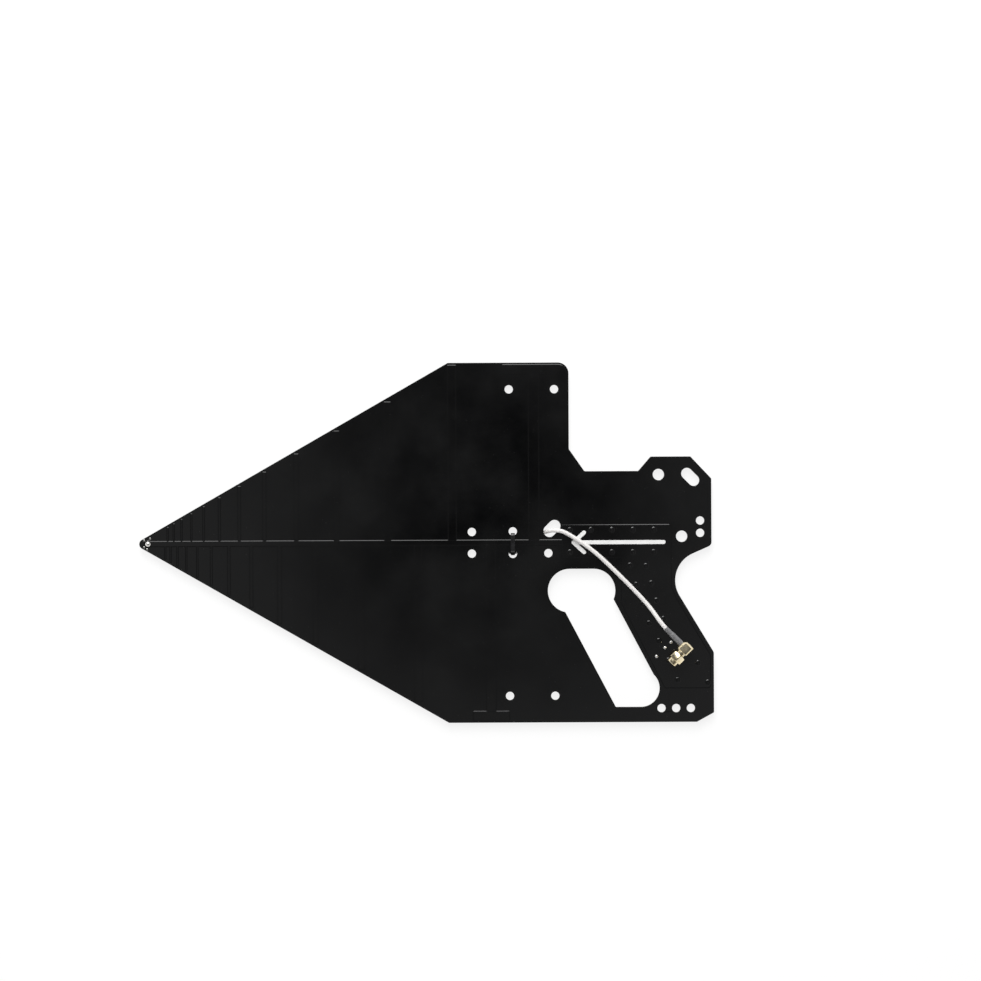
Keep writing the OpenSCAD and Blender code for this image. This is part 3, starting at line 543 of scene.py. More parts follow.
def jacket_finish(colour):
    """White jacket: smooth, with the braid just showing through it"""
    material, tree, shader, where = new_material(
        "cable_jacket", colour, 0.33, Subsurface_Weight=0.12, Subsurface_Scale=0.0006)
    around, along, _ = split_xyz(tree, where["UV"])
    turn = calc(tree, "MULTIPLY", around, 8 * ROUND)
    lay = calc(tree, "MULTIPLY", along, 8 * ROUND / 0.009)
    left = calc(tree, "SINE", calc(tree, "ADD", turn, lay))
    right = calc(tree, "SINE", calc(tree, "SUBTRACT", turn, lay))
    braid = calc(tree, "MULTIPLY", left, right)
    smudge = use_group(tree, "handling_smudges", Vector=where["Object"], Scale=90.0)
    warm = blend_colours(tree, smudge, colour, (colour[0] * 0.98, colour[1] * 0.95, colour[2] * 0.93))
    shadowed = calc(tree, "MULTIPLY_ADD", braid, 0.04, 0.04)
    tree.links.new(
        blend_colours(tree, shadowed, warm, (0.55, 0.49, 0.45)), shader.inputs["Base Color"])
    tree.links.new(ranged(tree, smudge, 0.27, 0.4), shader.inputs["Roughness"])
    bump(tree, shader, [(braid, 12 * MICRON), (smudge, 15 * MICRON)])
    return material


def tin_finish(name, colour, roughness):
    """Solder and tinned wire: bright metal with a slightly frosted skin"""
    material, tree, shader, where = new_material(name, colour, roughness, 1.0)
    frost = use_group(tree, "handling_smudges", Vector=where["Object"], Scale=1400.0)
    tree.links.new(
        blend_colours(tree, frost, colour, [part * 0.88 for part in colour]), shader.inputs["Base Color"])
    tree.links.new(ranged(tree, frost, roughness * 0.8, roughness * 1.5), shader.inputs["Roughness"])
    bump(tree, shader, [(frost, 6 * MICRON)])
    return material


def white_finish(name, colour):
    """White turned plastic with fine tool marks"""
    material, tree, shader, where = new_material(name, colour, 0.42)
    marks = use_group(tree, "tool_marks", Vector=where["Object"], Scale=1.0, Stretch=(5000, 5000, 5000))
    tree.links.new(
        blend_colours(tree, marks, [part * 0.9 for part in colour], colour), shader.inputs["Base Color"])
    bump(tree, shader, [(marks, 4 * MICRON)])
    return material


def tie_finish(colour):
    """Moulded black nylon with a fine grain and pale rubbed spots"""
    material, tree, shader, where = new_material("tie_nylon", colour, 0.36)
    grain = use_group(tree, "tool_marks", Vector=where["Object"], Scale=1.0, Stretch=(3800, 3800, 3800))
    rubbed = use_group(tree, "handling_smudges", Vector=where["Object"], Scale=500.0)
    tree.links.new(
        blend_colours(tree, rubbed, colour, [part * 2.6 for part in colour]), shader.inputs["Base Color"])
    tree.links.new(ranged(tree, rubbed, 0.14, 0.26), shader.inputs["Roughness"])
    bump(tree, shader, [(grain, 4 * MICRON)])
    return material


def plug_coordinates(tree, where):
    """Coordinates along the plug's own axes"""
    back = PLUG.inverted()
    return add_node(tree, "ShaderNodeMapping", {
        "Vector": where["Object"], "Location": back.to_translation(), "Rotation": back.to_euler()}).outputs[0]


def sleeve_finish(colour):
    """Shrink sleeve: satin, drawn along the cable, with small wrinkles"""
    material, tree, shader, where = new_material("shrink_sleeve", colour, 0.36)
    at = plug_coordinates(tree, where)
    drawn = use_group(tree, "tool_marks", Vector=at, Scale=1.0, Stretch=(5200, 500, 5200))
    wrinkle = use_group(tree, "tool_marks", Vector=at, Scale=1.0, Stretch=(500, 1900, 500))
    tree.links.new(
        blend_colours(tree, drawn, [part * 0.65 for part in colour], [part * 1.3 for part in colour]),
        shader.inputs["Base Color"])
    tree.links.new(ranged(tree, wrinkle, 0.28, 0.46), shader.inputs["Roughness"])
    bump(tree, shader, [(drawn, 12 * MICRON), (wrinkle, 45 * MICRON)])
    return material


def plate_finish(name, colour, roughness, stretch):
    """Pale gold plating over machined brass; the tool marks run square to the longest stretch"""
    material, tree, shader, where = new_material(name, colour, roughness, 1.0)
    at = plug_coordinates(tree, where)
    marks = use_group(tree, "tool_marks", Vector=at, Scale=1.0, Stretch=stretch)
    tarnish = use_group(tree, "handling_smudges", Vector=at, Scale=420.0)
    deeper = [colour[0] * 0.86, colour[1] * 0.8, colour[2] * 0.66]
    tree.links.new(blend_colours(tree, tarnish, colour, deeper), shader.inputs["Base Color"])
    worn = calc(tree, "MULTIPLY", marks, tarnish)
    tree.links.new(ranged(tree, worn, roughness * 0.8, roughness * 1.5), shader.inputs["Roughness"])
    bump(tree, shader, [(marks, 2.5 * MICRON)])
    return material


def rubber_finish(colour):
    """Soft rubber with a matt, slightly mottled skin"""
    material, tree, shader, where = new_material("gasket_rubber", colour, 0.7)
    mottle = use_group(tree, "handling_smudges", Vector=where["Object"], Scale=1500.0)
    tree.links.new(
        blend_colours(tree, mottle, colour, [part * 0.7 for part in colour]), shader.inputs["Base Color"])
    bump(tree, shader, [(mottle, 12 * MICRON)])
    return material


def finish(name):
    """A finish that the materials operator has made"""
    return bpy.data.materials[name]


class ANTENNA_OT_finishes(bpy.types.Operator):
    """Makes the materials of every piece"""

    bl_idname = "antenna.finishes"
    bl_label = "Finishes"

    def execute(self, context):
        look = context.scene.antenna_finishes
        shader_groups()
        mask_finish("black_mask", tuple(look.mask), tuple(look.mask_worn), 2 * MICRON)
        mask_finish("mask_over_copper", tuple(look.copper_mask), tuple(look.mask_worn), 0.6 * MICRON)
        laminate_finish(tuple(look.laminate))
        ink_finish(tuple(look.ink))
        jacket_finish(tuple(look.jacket))
        tin_finish("solder", tuple(look.tin), 0.15)
        tin_finish("tinned_wire", tuple(look.tin), 0.32)
        white_finish("white_insulator", tuple(look.white))
        tie_finish(tuple(look.tie))
        sleeve_finish(tuple(look.sleeve))
        plate_finish("plated_block", tuple(look.plate), 0.22, (400, 6000, 6000))
        plate_finish("plated_turning", tuple(look.plate), 0.17, (9000, 500, 500))
        rubber_finish(tuple(look.rubber))
        return {"FINISHED"}


# The camera, the light and the floor


def area_light(name, zenith, azimuth, distance, width, height, radiance, target):
    """A softbox, placed by its angles from the zenith and from +X, that faces the antenna"""
    data = bpy.data.lights.new(name, "AREA")
    data.shape = "RECTANGLE"
    data.size = width
    data.size_y = height
    data.energy = radiance * math.pi * width * height
    made = bpy.data.objects.new(name, data)
    lean, turn = math.radians(zenith), math.radians(azimuth)
    way = Vector((math.sin(lean) * math.cos(turn), math.sin(lean) * math.sin(turn), math.cos(lean)))
    made.location = target + way * distance
    made.rotation_mode = "QUATERNION"
    made.rotation_quaternion = way.to_track_quat("Z", "Y")
    bpy.context.scene.collection.objects.link(made)


# Radiance of the room by the angle from the zenith, in degrees: the camera's dark shape in the middle
# of a pale panel, then a dim ceiling, and bright walls
ROOM = ((0, 0.01), (2, 0.02), (4.5, 0.34), (7, 0.42), (10, 0.2), (14, 0.1), (52, 0.16), (66, 0.8), (90, 1.3))


def studio_world():
    """The room round the antenna, which the camera itself sees as plain white"""
    world = bpy.data.worlds.new("studio")
    bpy.context.scene.world = world
    world.use_nodes = True
    tree = world.node_tree
    where = tree.nodes.new("ShaderNodeTexCoord")
    height = split_xyz(tree, where.outputs["Generated"])[2]
    lean = calc(tree, "ARCCOSINE", calc(tree, "MAXIMUM", height, 0.0))
    share = calc(tree, "DIVIDE", lean, math.pi / 2)
    ramp = add_node(tree, "ShaderNodeValToRGB", {0: share})
    brightest = max(level for angle, level in ROOM)
    for place, (angle, level) in enumerate(ROOM):
        at = angle / 90
        stop = ramp.color_ramp.elements[place] if place < 2 else ramp.color_ramp.elements.new(at)
        stop.position = at
        stop.color = (level / brightest, level / brightest, level / brightest, 1)
    room = tree.nodes["Background"]
    room.inputs["Strength"].default_value = brightest
    tree.links.new(ramp.outputs[0], room.inputs["Color"])
    plain = add_node(tree, "ShaderNodeBackground", {"Color": (1, 1, 1, 1), "Strength": 1.0})
    seen = tree.nodes.new("ShaderNodeLightPath").outputs["Is Camera Ray"]
    both = add_node(tree, "ShaderNodeMixShader", (seen, room.outputs[0], plain.outputs[0]))
    tree.links.new(both.outputs[0], tree.nodes["World Output"].inputs["Surface"])


def floor_finish():
    """A white floor that keeps a soft shadow and is clear from below"""
    material, tree, shader, _ = new_material("white_floor", (0.22, 0.22, 0.22), 0.9, Specular_IOR_Level=0)
    shader.inputs["Emission Color"].default_value = (1, 1, 1, 1)
    shader.inputs["Emission Strength"].default_value = 0.83
    clear = tree.nodes.new("ShaderNodeBsdfTransparent")
    side = tree.nodes.new("ShaderNodeNewGeometry").outputs["Backfacing"]
    both = add_node(tree, "ShaderNodeMixShader", (side, shader.outputs[0], clear.outputs[0]))
    tree.links.new(both.outputs[0], tree.nodes["Material Output"].inputs["Surface"])
    return material


class ANTENNA_OT_stage(bpy.types.Operator):
    """Sets up the camera straight above the front face, the softboxes and the floor"""

    bl_idname = "antenna.stage"
    bl_label = "Camera, light and floor"

    def execute(self, context):
        scene = context.scene
        scene.view_settings.view_transform = "Standard"
        data = bpy.data.cameras.new("camera")
        distance, frame_width = 2.0, 0.5886
        data.sensor_width = 36
        data.lens = data.sensor_width * distance / frame_width
        data.clip_end = 20
        camera = bpy.data.objects.new("camera", data)
        camera.location = (0.03867, 0.03133, FRONT_Z + distance)
        camera.rotation_euler = (0, 0, math.radians(-0.25))
        scene.collection.objects.link(camera)
        scene.camera = camera
        studio_world()
        middle = Vector((0, 0, FRONT_Z))
        area_light("softbox", 45, 94, 1.6, 1.08, 1.56, 4.75, middle)
        area_light("lamp", 46, 96, 1.58, 0.11, 0.11, 40, middle)
        shape = bmesh.new()
        bmesh.ops.create_grid(shape, x_segments=2, y_segments=2, size=8)
        floor = bpy.data.objects.new("floor", mesh_of(shape, "floor"))
        floor.data.materials.append(floor_finish())
        scene.collection.objects.link(floor)
        return {"FINISHED"}


# The board and its copper


class ANTENNA_OT_board(bpy.types.Operator):
    """Makes the laminate, with rounded mask at its edges and bare glass on its routed sides"""

    bl_idname = "antenna.board"
    bl_label = "Laminate"

    def execute(self, context):
        mesh = broken_edges(whole_faces("board"), 0.00014, 2)
        smooth(mesh, 20)
        piece("laminate", mesh, [finish("black_mask"), finish("routed_laminate")],
              "antenna", "solder_mask", "board")
        for face in mesh.polygons:
            face.material_index = 1 if abs(face.normal.z) < 0.5 else 0
        return {"FINISHED"}


def taper_of(sizes):
    """Angle of the tapered edge, and where it would meet the boom"""
    run = sizes.shoulder - sizes.tip_radius
    angle = math.atan2(WING_Y, run) - math.asin(sizes.tip_radius / math.hypot(run, WING_Y))
    return angle, TIP_X + sizes.tip_radius - sizes.tip_radius / math.sin(angle)


def sloped_block(tree, given):
    """A unit block whose four sides slope once it is real, and the fields that move them"""
    column = add_node(tree, "GeometryNodeMeshCylinder", {
        "Vertices": 16, "Side Segments": SLOPE_STEPS, "Radius": 1.0, "Depth": 1.0}, fill_type="NGON")
    turned_column = add_node(tree, "GeometryNodeTransform", {
        "Geometry": column.outputs["Mesh"], "Rotation": (0, 0, ROUND / 32)})
    at = tree.nodes.new("GeometryNodeInputPosition").outputs[0]
    x, y, z = split_xyz(tree, at)
    kept = add_node(tree, "GeometryNodeCaptureAttribute", {"Geometry": turned_column.outputs[0]})
    for name, form, value in (("Way", "VECTOR", join_xyz(tree, x, y, 0.0)),
                              ("Share", "FLOAT", calc(tree, "ADD", z, 0.5))):
        kept.capture_items.new(form, name)
        tree.links.new(value, kept.inputs[name])
    corner = join_xyz(tree, calc(tree, "MULTIPLY", calc(tree, "SIGN", x), 0.5),
                      calc(tree, "MULTIPLY", calc(tree, "SIGN", y), 0.5), 0.0)
    block = add_node(tree, "GeometryNodeSetPosition", {"Geometry": kept.outputs["Geometry"], "Position": corner})
    share = kept.outputs["Share"]
    span = calc(tree, "ADD", given["Slope Out"], given["Slope In"])
    reach = calc(tree, "MULTIPLY", calc(tree, "SUBTRACT", 1.0, share), span)
    level = add_node(tree, "ShaderNodeMapRange", {
        "Value": share, "From Max": (SLOPE_STEPS - 1) / SLOPE_STEPS, "To Min": -20 * MICRON,
        "To Max": given["Height"]}, interpolation_type="SMOOTHSTEP").outputs[0]
    sideways = add_node(tree, "ShaderNodeVectorMath", {
        0: kept.outputs["Way"], "Scale": reach}, operation="SCALE").outputs[0]
    return block.outputs[0], vector_calc(tree, "ADD", sideways, join_xyz(tree, 0.0, 0.0, level))


def dipole_tree():
    """Geometry nodes for one face's arms: each dipole's distance from the apex is a fixed share of the
    last one's, arms alternate from side to side, and each stops at the rim of the tapered board"""
    floats = ("Apex", "Longest", "Ratio", "Arm Share", "Narrowest", "Taper Start", "Taper Slope",
              "Slanted Rim", "Reach", "Slope Out", "Slope In", "Height")
    inputs = {"Geometry": "Geometry", "Arms": "Int", "Material": "Material"}
    inputs.update({name: "Float" for name in floats})
    tree, given, result = new_group("GeometryNodeTree", "dipole_arms", inputs, {"Geometry": "Geometry"})
    number = tree.nodes.new("GeometryNodeInputIndex").outputs[0]
    share = calc(tree, "POWER", given["Ratio"], calc(tree, "MULTIPLY", number, 0.5))
    distance = calc(tree, "MULTIPLY", given["Longest"], share)
    width = calc(tree, "MAXIMUM", given["Narrowest"], calc(tree, "MULTIPLY", distance, given["Arm Share"]))
    side = calc(tree, "SUBTRACT", 1.0, calc(tree, "MULTIPLY", calc(tree, "MODULO", number, 2.0), 2.0))
    middle = calc(tree, "ADD", given["Apex"], distance)
    front = calc(tree, "SUBTRACT", middle, calc(tree, "MULTIPLY", width, 0.5))
    run = calc(tree, "SUBTRACT", front, given["Taper Start"])
    slanted = calc(tree, "SUBTRACT", calc(tree, "MULTIPLY", run, given["Taper Slope"]), given["Slanted Rim"])
    reach = calc(tree, "MINIMUM", given["Reach"], slanted)
    place = join_xyz(tree, middle, calc(tree, "MULTIPLY", calc(tree, "MULTIPLY", reach, side), 0.5), 0.0)
    points = add_node(tree, "GeometryNodePoints", {"Count": given["Arms"], "Position": place})
    inset = calc(tree, "MULTIPLY", given["Slope In"], 2.0)
    core = join_xyz(tree, calc(tree, "SUBTRACT", width, inset), calc(tree, "SUBTRACT", reach, inset), 1.0)
    block, slope = sloped_block(tree, given)
    arms = add_node(tree, "GeometryNodeInstanceOnPoints", {
        "Points": points.outputs[0], "Instance": block, "Scale": core})
    real = add_node(tree, "GeometryNodeRealizeInstances", (arms.outputs[0],))
    sloped = add_node(tree, "GeometryNodeSetPosition", {"Geometry": real.outputs[0], "Offset": slope})
    fill_and_end(tree, result, sloped.outputs[0], given["Material"])
    return tree


def ground_outline(mirrored):
    """The ground area behind the dipoles and down the grip, as corners with radii"""
    corners = ((0.0907, 0.0104), (0.0907, -0.0092), (0.055, -0.0092), (0.055, -0.037), (0.0293, -0.0875),
               (0.0021, -0.0875), (0.0021, -0.068), (0.0225, -0.034), (0.0255, -0.027), (0.0255, 0.0104))
    ends = (0.0, 0.0, 0.0, 0.0014, 0.0014, 0.0014, 0.0014, 0.0014, 0.0014, 0.0014)
    points = [(HEEL_X - back, y * mirrored, radius) for (back, y), radius in zip(corners, ends)]
    return rounded(points if mirrored > 0 else points[::-1])


def rectangle(low_x, low_y, high_x, high_y, radius=0.0003):
    """A rectangle's outline, anticlockwise, with small round corners"""
    return rounded([(low_x, low_y, radius), (high_x, low_y, radius), (high_x, high_y, radius),
                    (low_x, high_y, radius)])


def copper_face(sizes, arms, place, mirrored):
    """One face's copper: arms, boom strip, end loads, ground area and feed pad"""
    shape = bmesh.new()
    shape.from_mesh(arms)
    bmesh.ops.transform(shape, matrix=place, verts=shape.verts)
    lift = 5 * MICRON
    boom = rectangle(TIP_X + sizes.apex, -sizes.strip / 2, HEEL_X - 0.0897, sizes.strip / 2)
    relief(shape, boom, place, sizes, lift)
    high = WING_Y - sizes.rim
    rear = TIP_X + sizes.wing_rear - sizes.rim
    low = high - sizes.load_width
    long_load = rounded([(rear - sizes.long_load, low, 0.0003), (rear, low, 0.0003),
                         (rear, high, sizes.wing_radius - sizes.rim), (rear - sizes.long_load, high, 0.0003)])
    relief(shape, long_load, place, sizes, lift)
    second = TIP_X + sizes.apex + sizes.longest * math.sqrt(sizes.ratio)
    half = sizes.short_load / 2
    relief(shape, rectangle(second - half, -high, second + half, -low), place, sizes, lift)
    relief(shape, ground_outline(mirrored), place, sizes, 2 * lift)
    feed = [Vector((TIP_X + sizes.feed, 0)) + sizes.feed_pad * Vector((math.cos(a), math.sin(a)))
            for a in (ROUND * count / 32 for count in range(32))]
    relief(shape, feed, place, sizes, 2 * lift)
    mesh = mesh_of(shape, "copper")
    smooth(mesh, 35)
    return mesh


class ANTENNA_OT_copper(bpy.types.Operator):
    """Makes the masked copper of both faces: the dipole pattern follows its rule in geometry nodes"""

    bl_idname = "antenna.copper"
    bl_label = "Dipole array"

    def execute(self, context):
        sizes = context.scene.antenna_array
        angle, start = taper_of(sizes)
        arms = node_mesh(dipole_tree(), "arms", bpy.data.meshes.new("arms"), {
            "Arms": 2 * sizes.dipoles, "Material": finish("mask_over_copper"), "Apex": TIP_X + sizes.apex,
            "Longest": sizes.longest, "Ratio": sizes.ratio, "Arm Share": sizes.arm_share,
            "Narrowest": sizes.narrowest, "Taper Start": start, "Taper Slope": math.tan(angle),
            "Slanted Rim": sizes.rim / math.cos(angle), "Reach": WING_Y - sizes.rim,
            "Slope Out": sizes.slope_out, "Slope In": sizes.slope_in, "Height": COPPER_H})
        if not arms.polygons:
            raise RuntimeError("the dipole tree made no arms")
        mask = [finish("mask_over_copper")]
        piece("dipoles_front", copper_face(sizes, arms, TO_FRONT, 1), mask,
              "antenna", "masked_copper", "front_copper")
        piece("dipoles_back", copper_face(sizes, arms, TO_BACK, -1), mask,
              "antenna", "masked_copper", "back_copper")
        return {"FINISHED"}


# Vias beside the boom, as first distance from the heel, pitch, count and height
BOOM_VIAS = ((0.0861, 0.0126, 5, 0.0074), (0.0861, 0.0126, 5, -0.006))
# Vias down the grip, as distance from the heel, height, heading in degrees, pitch and count
GRIP_VIAS = ((0.0501, -0.014, -72, 0.0122, 4), (0.0329, -0.0594, -64.3, 0.013, 3),
             (0.0405, -0.0144, -73.3, 0.0108, 3), (0.0301, -0.0462, -64.4, 0.012, 3),
             (0.0095, -0.0727, -63.3, 0.0131, 2))


def via_places():
    """The middle of every via"""
    places = [Vector((HEEL_X - back + pitch * count, y, 0))
              for back, pitch, total, y in BOOM_VIAS for count in range(total)]
    for back, y, heading, pitch, total in GRIP_VIAS:
        way = Matrix.Rotation(math.radians(heading), 3, "Z") @ Vector((pitch, 0, 0))
        places += [Vector((HEEL_X - back, y, 0)) + way * count for count in range(total)]
    return places


def via_tree():
    """Geometry nodes for tented vias: a ring of mask with a dimple, on every vertex of the base mesh"""
    tree, given, result = new_group("GeometryNodeTree", "tented_vias", {
        "Geometry": "Geometry", "Radius": "Float", "Height": "Float", "Material": "Material"},
        {"Geometry": "Geometry"})
    column = add_node(tree, "GeometryNodeMeshCylinder", {
        "Vertices": 24, "Side Segments": 9, "Radius": 1.0, "Depth": 1.0}, fill_type="NGON")
    x, y, z = split_xyz(tree, tree.nodes.new("GeometryNodeInputPosition").outputs[0])
    share = calc(tree, "ADD", z, 0.5)
    reach = calc(tree, "MULTIPLY", given["Radius"], calc(tree, "SUBTRACT", 1.0, calc(tree, "MULTIPLY", share, 0.92)))
    level = profile_curve(tree, share, ((0, 0), (1, 0.6), (0.15, 0.5), (0.34, 1), (0.5, 0.94), (0.72, 0.72)))
    height = calc(tree, "SUBTRACT", calc(tree, "MULTIPLY", level, given["Height"]), 4 * MICRON)
    place = join_xyz(tree, calc(tree, "MULTIPLY", x, reach), calc(tree, "MULTIPLY", y, reach), height)
    ring = add_node(tree, "GeometryNodeSetPosition", {"Geometry": column.outputs["Mesh"], "Position": place})
    vias = add_node(tree, "GeometryNodeInstanceOnPoints", {"Points": given["Geometry"], "Instance": ring.outputs[0]})
    fill_and_end(tree, result, vias.outputs[0], given["Material"])
    return tree


class ANTENNA_OT_vias(bpy.types.Operator):
    """Makes the tented vias of both faces"""

    bl_idname = "antenna.vias"
    bl_label = "Vias"

    def execute(self, context):
        tree = via_tree()
        mask = finish("mask_over_copper")
        for name, node, level, over in (("vias_front", "front_vias", COPPER_TOP, False),
                                        ("vias_back", "back_vias", BACK_Z - COPPER_H, True)):
            base = bpy.data.meshes.new("places")
            base.from_pydata(via_places(), [], [])
            rings = node_mesh(tree, name, base, {"Radius": 0.0018, "Height": VIA_H, "Material": mask})
            shape = bmesh.new()
            shape.from_mesh(rings)
            turn = Matrix.Diagonal((1, 1, -1 if over else 1, 1))
            bmesh.ops.transform(shape, matrix=Matrix.Translation((0, 0, level)) @ turn, verts=shape.verts)
            mesh = mesh_of(shape, name)
            smooth(mesh, 60)
            piece(name, mesh, [mask], "antenna", "masked_copper", node)
        return {"FINISHED"}


class ANTENNA_OT_print_and_tin(bpy.types.Operator):
    """Makes the printed arrow, the tinned pads at the tip and the tinned spots on the grip"""

    bl_idname = "antenna.print_and_tin"
    bl_label = "Arrow and tinned spots"

    def execute(self, context):
        arrow = broken_edges(whole_faces("direction_arrow"), 15 * MICRON, 1)
        smooth(arrow, 20)
        piece("arrow_print", arrow, [finish("arrow_ink")], "antenna", "white_print", "direction_arrow")
        for name, node in (("pads_at_tip", "tip_pads"), ("spots_on_grip", "tinned_spots")):
            mesh = broken_edges(whole_faces(node), 30 * MICRON, 2)
            smooth(mesh, 35)
            piece(name, mesh, [finish("solder")], "antenna", "tin", node)
        return {"FINISHED"}


# The cable


# The route behind the tie, as distance from the heel, height, and level: 0 lies under the board, 1 lies
# on its front face, and 2 is the plug's axis
ROUTE_BACK = (
    (0.1155, 0.0003, -0.02), (0.1115, 0.0015, -0.07), (0.1075, 0.0033, -0.12), (0.1037, 0.0051, -0.13),
    (0.1015, 0.00595, -0.06), (0.0994, 0.0066, 0.14), (0.0976, 0.007, 0.46), (0.0957, 0.0072, 0.79),
    (0.0935, 0.0072, 0.99), (0.0911, 0.0068, 1.06), (0.0885, 0.0057, 1.05), (0.0855, 0.004, 1.02),
    (0.0815, 0.0015, 1), (0.0765, -0.0019, 1), (0.0715, -0.0057, 1), (0.0665, -0.0101, 1),
    (0.0615, -0.0149, 1), (0.0565, -0.0198, 1), (0.0515, -0.0248, 1), (0.0465, -0.03, 1),
    (0.0415, -0.0354, 1.08), (0.0371, -0.0408, 1.38), (0.0335, -0.0459, 1.76), (0.031, -0.0492, 1.94),
    (0.0285, -0.0522, 2), (0.0245, -0.0562, 2), (0.0207, -0.06, 2))
STRAIGHT_POINTS = 6
HELD_POINTS = 10
STEPS_PER_STRETCH = 8


def route_points(cable):
    """The points that the cable's middle follows, from its stripped end to the plug"""
    under = BACK_Z - COPPER_H - cable.radius
    over = COPPER_TOP + VIA_H + cable.gap + cable.radius
    start, end = TIP_X + cable.jacket_end, HEEL_X - cable.straight_end
    points = [Vector((start + (end - start) * count / (STRAIGHT_POINTS - 1), 0, under))
              for count in range(STRAIGHT_POINTS)]
    for back, y, level in ROUTE_BACK:
        z = under + level * (over - under) if level <= 1 else over + (level - 1) * (PLUG_CENTRE.z - over)
        points.append(Vector((HEEL_X - back, y, z)))
    return points


def smooth_route(points):
    """One smooth curve through the points, with an even number of steps in each stretch"""
    ends = [2 * points[0] - points[1], *points, 2 * points[-1] - points[-2]]
    curve = []
    for place in range(1, len(ends) - 2):
        p0, p1, p2, p3 = ends[place - 1:place + 3]
        reach = (p2 - p1).length
        out = (p2 - p0).normalized() * reach
        into = (p3 - p1).normalized() * reach
        for count in range(STEPS_PER_STRETCH):
            t = count / STEPS_PER_STRETCH
            curve.append((2 * t**3 - 3 * t**2 + 1) * p1 + (t**3 - 2 * t**2 + t) * out
                         + (3 * t**2 - 2 * t**3) * p2 + (t**3 - t**2) * into)
    return curve + [points[-1]]


def tube_rings(path, radius, sides=24):
    """A ring of points round each point of a path, without twist"""
    rings = []
    up = Vector((0, 0, 1))
    for place, point in enumerate(path):
        way = (path[min(place + 1, len(path) - 1)] - path[max(place - 1, 0)]).normalized()
        across = way.cross(up).normalized()
        up = across.cross(way)
        rings.append([point + radius * (across * math.cos(a) + up * math.sin(a))
                      for a in (ROUND * side / sides for side in range(sides))])
    return rings


def run_length(path):
    """Length of a path"""
    return sum((b - a).length for a, b in zip(path, path[1:]))


class ANTENNA_OT_cable(bpy.types.Operator):
    """Makes the cable: its held run under the boom and through the slot, and its free run to the plug"""

    bl_idname = "antenna.cable"
    bl_label = "Cable"

    def execute(self, context):
        cable = context.scene.antenna_cable
        path = smooth_route(route_points(cable))
        rings = tube_rings(path, cable.radius)
        along = [run_length(path[:count + 1]) for count in range(len(path))]
        free = (STRAIGHT_POINTS + HELD_POINTS - 1) * STEPS_PER_STRETCH
        for name, node, first, last in (("cable_held", "feed_cable", 0, free),
                                        ("cable_free", "pigtail_cable", free, len(path) - 1)):
            shape = bmesh.new()
            rings_to_shape(shape, rings[first:last + 1], uv=along[first:last + 1])
            mesh = mesh_of(shape, name)
            smooth(mesh, 40)
            piece(name, mesh, [finish("cable_jacket")], "antenna", "cable_jacket", node)
        return {"FINISHED"}


def braid_tree():
    """Geometry nodes for the braid: two families of fine wires wound both ways, over and under"""
    tree, given, result = new_group("GeometryNodeTree", "braid_wires", {
        "Geometry": "Geometry", "Length": "Float", "Radius": "Float", "Turns": "Float",
        "Carriers": "Int", "Wire": "Float", "Material": "Material"}, {"Geometry": "Geometry"})
    wires = 3
    families = tree.nodes.new("GeometryNodeJoinGeometry")
    for backwards in (False, True):
        helix = add_node(tree, "GeometryNodeCurveSpiral", {
            "Resolution": 36, "Rotations": given["Turns"], "Start Radius": given["Radius"],
            "End Radius": given["Radius"], "Height": given["Length"], "Reverse": backwards})
        share = tree.nodes.new("GeometryNodeSplineParameter").outputs["Factor"]
        waves = calc(tree, "MULTIPLY", given["Turns"], given["Carriers"])
        wave = calc(tree, "SINE", calc(tree, "MULTIPLY", calc(tree, "MULTIPLY", share, waves), ROUND / 2))
        swing = calc(tree, "MULTIPLY", wave, calc(tree, "MULTIPLY", given["Wire"], -1.0 if backwards else 1.0))
        x, y, _ = split_xyz(tree, tree.nodes.new("GeometryNodeInputPosition").outputs[0])
        outward = vector_calc(tree, "NORMALIZE", join_xyz(tree, x, y, 0.0))
        offset = add_node(tree, "ShaderNodeVectorMath", {0: outward, "Scale": swing}, operation="SCALE")
        woven = add_node(tree, "GeometryNodeSetPosition", {"Geometry": helix.outputs[0], "Offset": offset.outputs[0]})
        section = add_node(tree, "GeometryNodeCurvePrimitiveCircle", {"Resolution": 5, "Radius": given["Wire"]})
        wire = add_node(tree, "GeometryNodeCurveToMesh", {
            "Curve": woven.outputs[0], "Profile Curve": section.outputs[0], "Fill Caps": True})
        number = tree.nodes.new("GeometryNodeInputIndex").outputs[0]
        step = calc(tree, "DIVIDE", ROUND, given["Carriers"])
        bundle = calc(tree, "FLOOR", calc(tree, "DIVIDE", number, float(wires)))
        beside = calc(tree, "MULTIPLY", calc(tree, "MODULO", number, float(wires)), calc(tree, "DIVIDE", step, 3.4))
        angle = calc(tree, "ADD", calc(tree, "MULTIPLY", bundle, step), beside)
        points = add_node(tree, "GeometryNodePoints", {
            "Count": calc(tree, "MULTIPLY", given["Carriers"], float(wires))})
        turn = add_node(tree, "FunctionNodeEulerToRotation", (join_xyz(tree, 0.0, 0.0, angle),))
        family = add_node(tree, "GeometryNodeInstanceOnPoints", {
            "Points": points.outputs[0], "Instance": wire.outputs[0], "Rotation": turn.outputs[0]})
        tree.links.new(family.outputs[0], families.inputs[0])
    fill_and_end(tree, result, families.outputs[0], given["Material"])
    return tree


def lumpy(depth, lobes):
    """A form for a turned shape: slightly uneven, like set solder"""
    def form(along, angle):
        return 1 + depth * math.sin(lobes * angle + along * 2000) * math.cos(angle + 1)
    return form


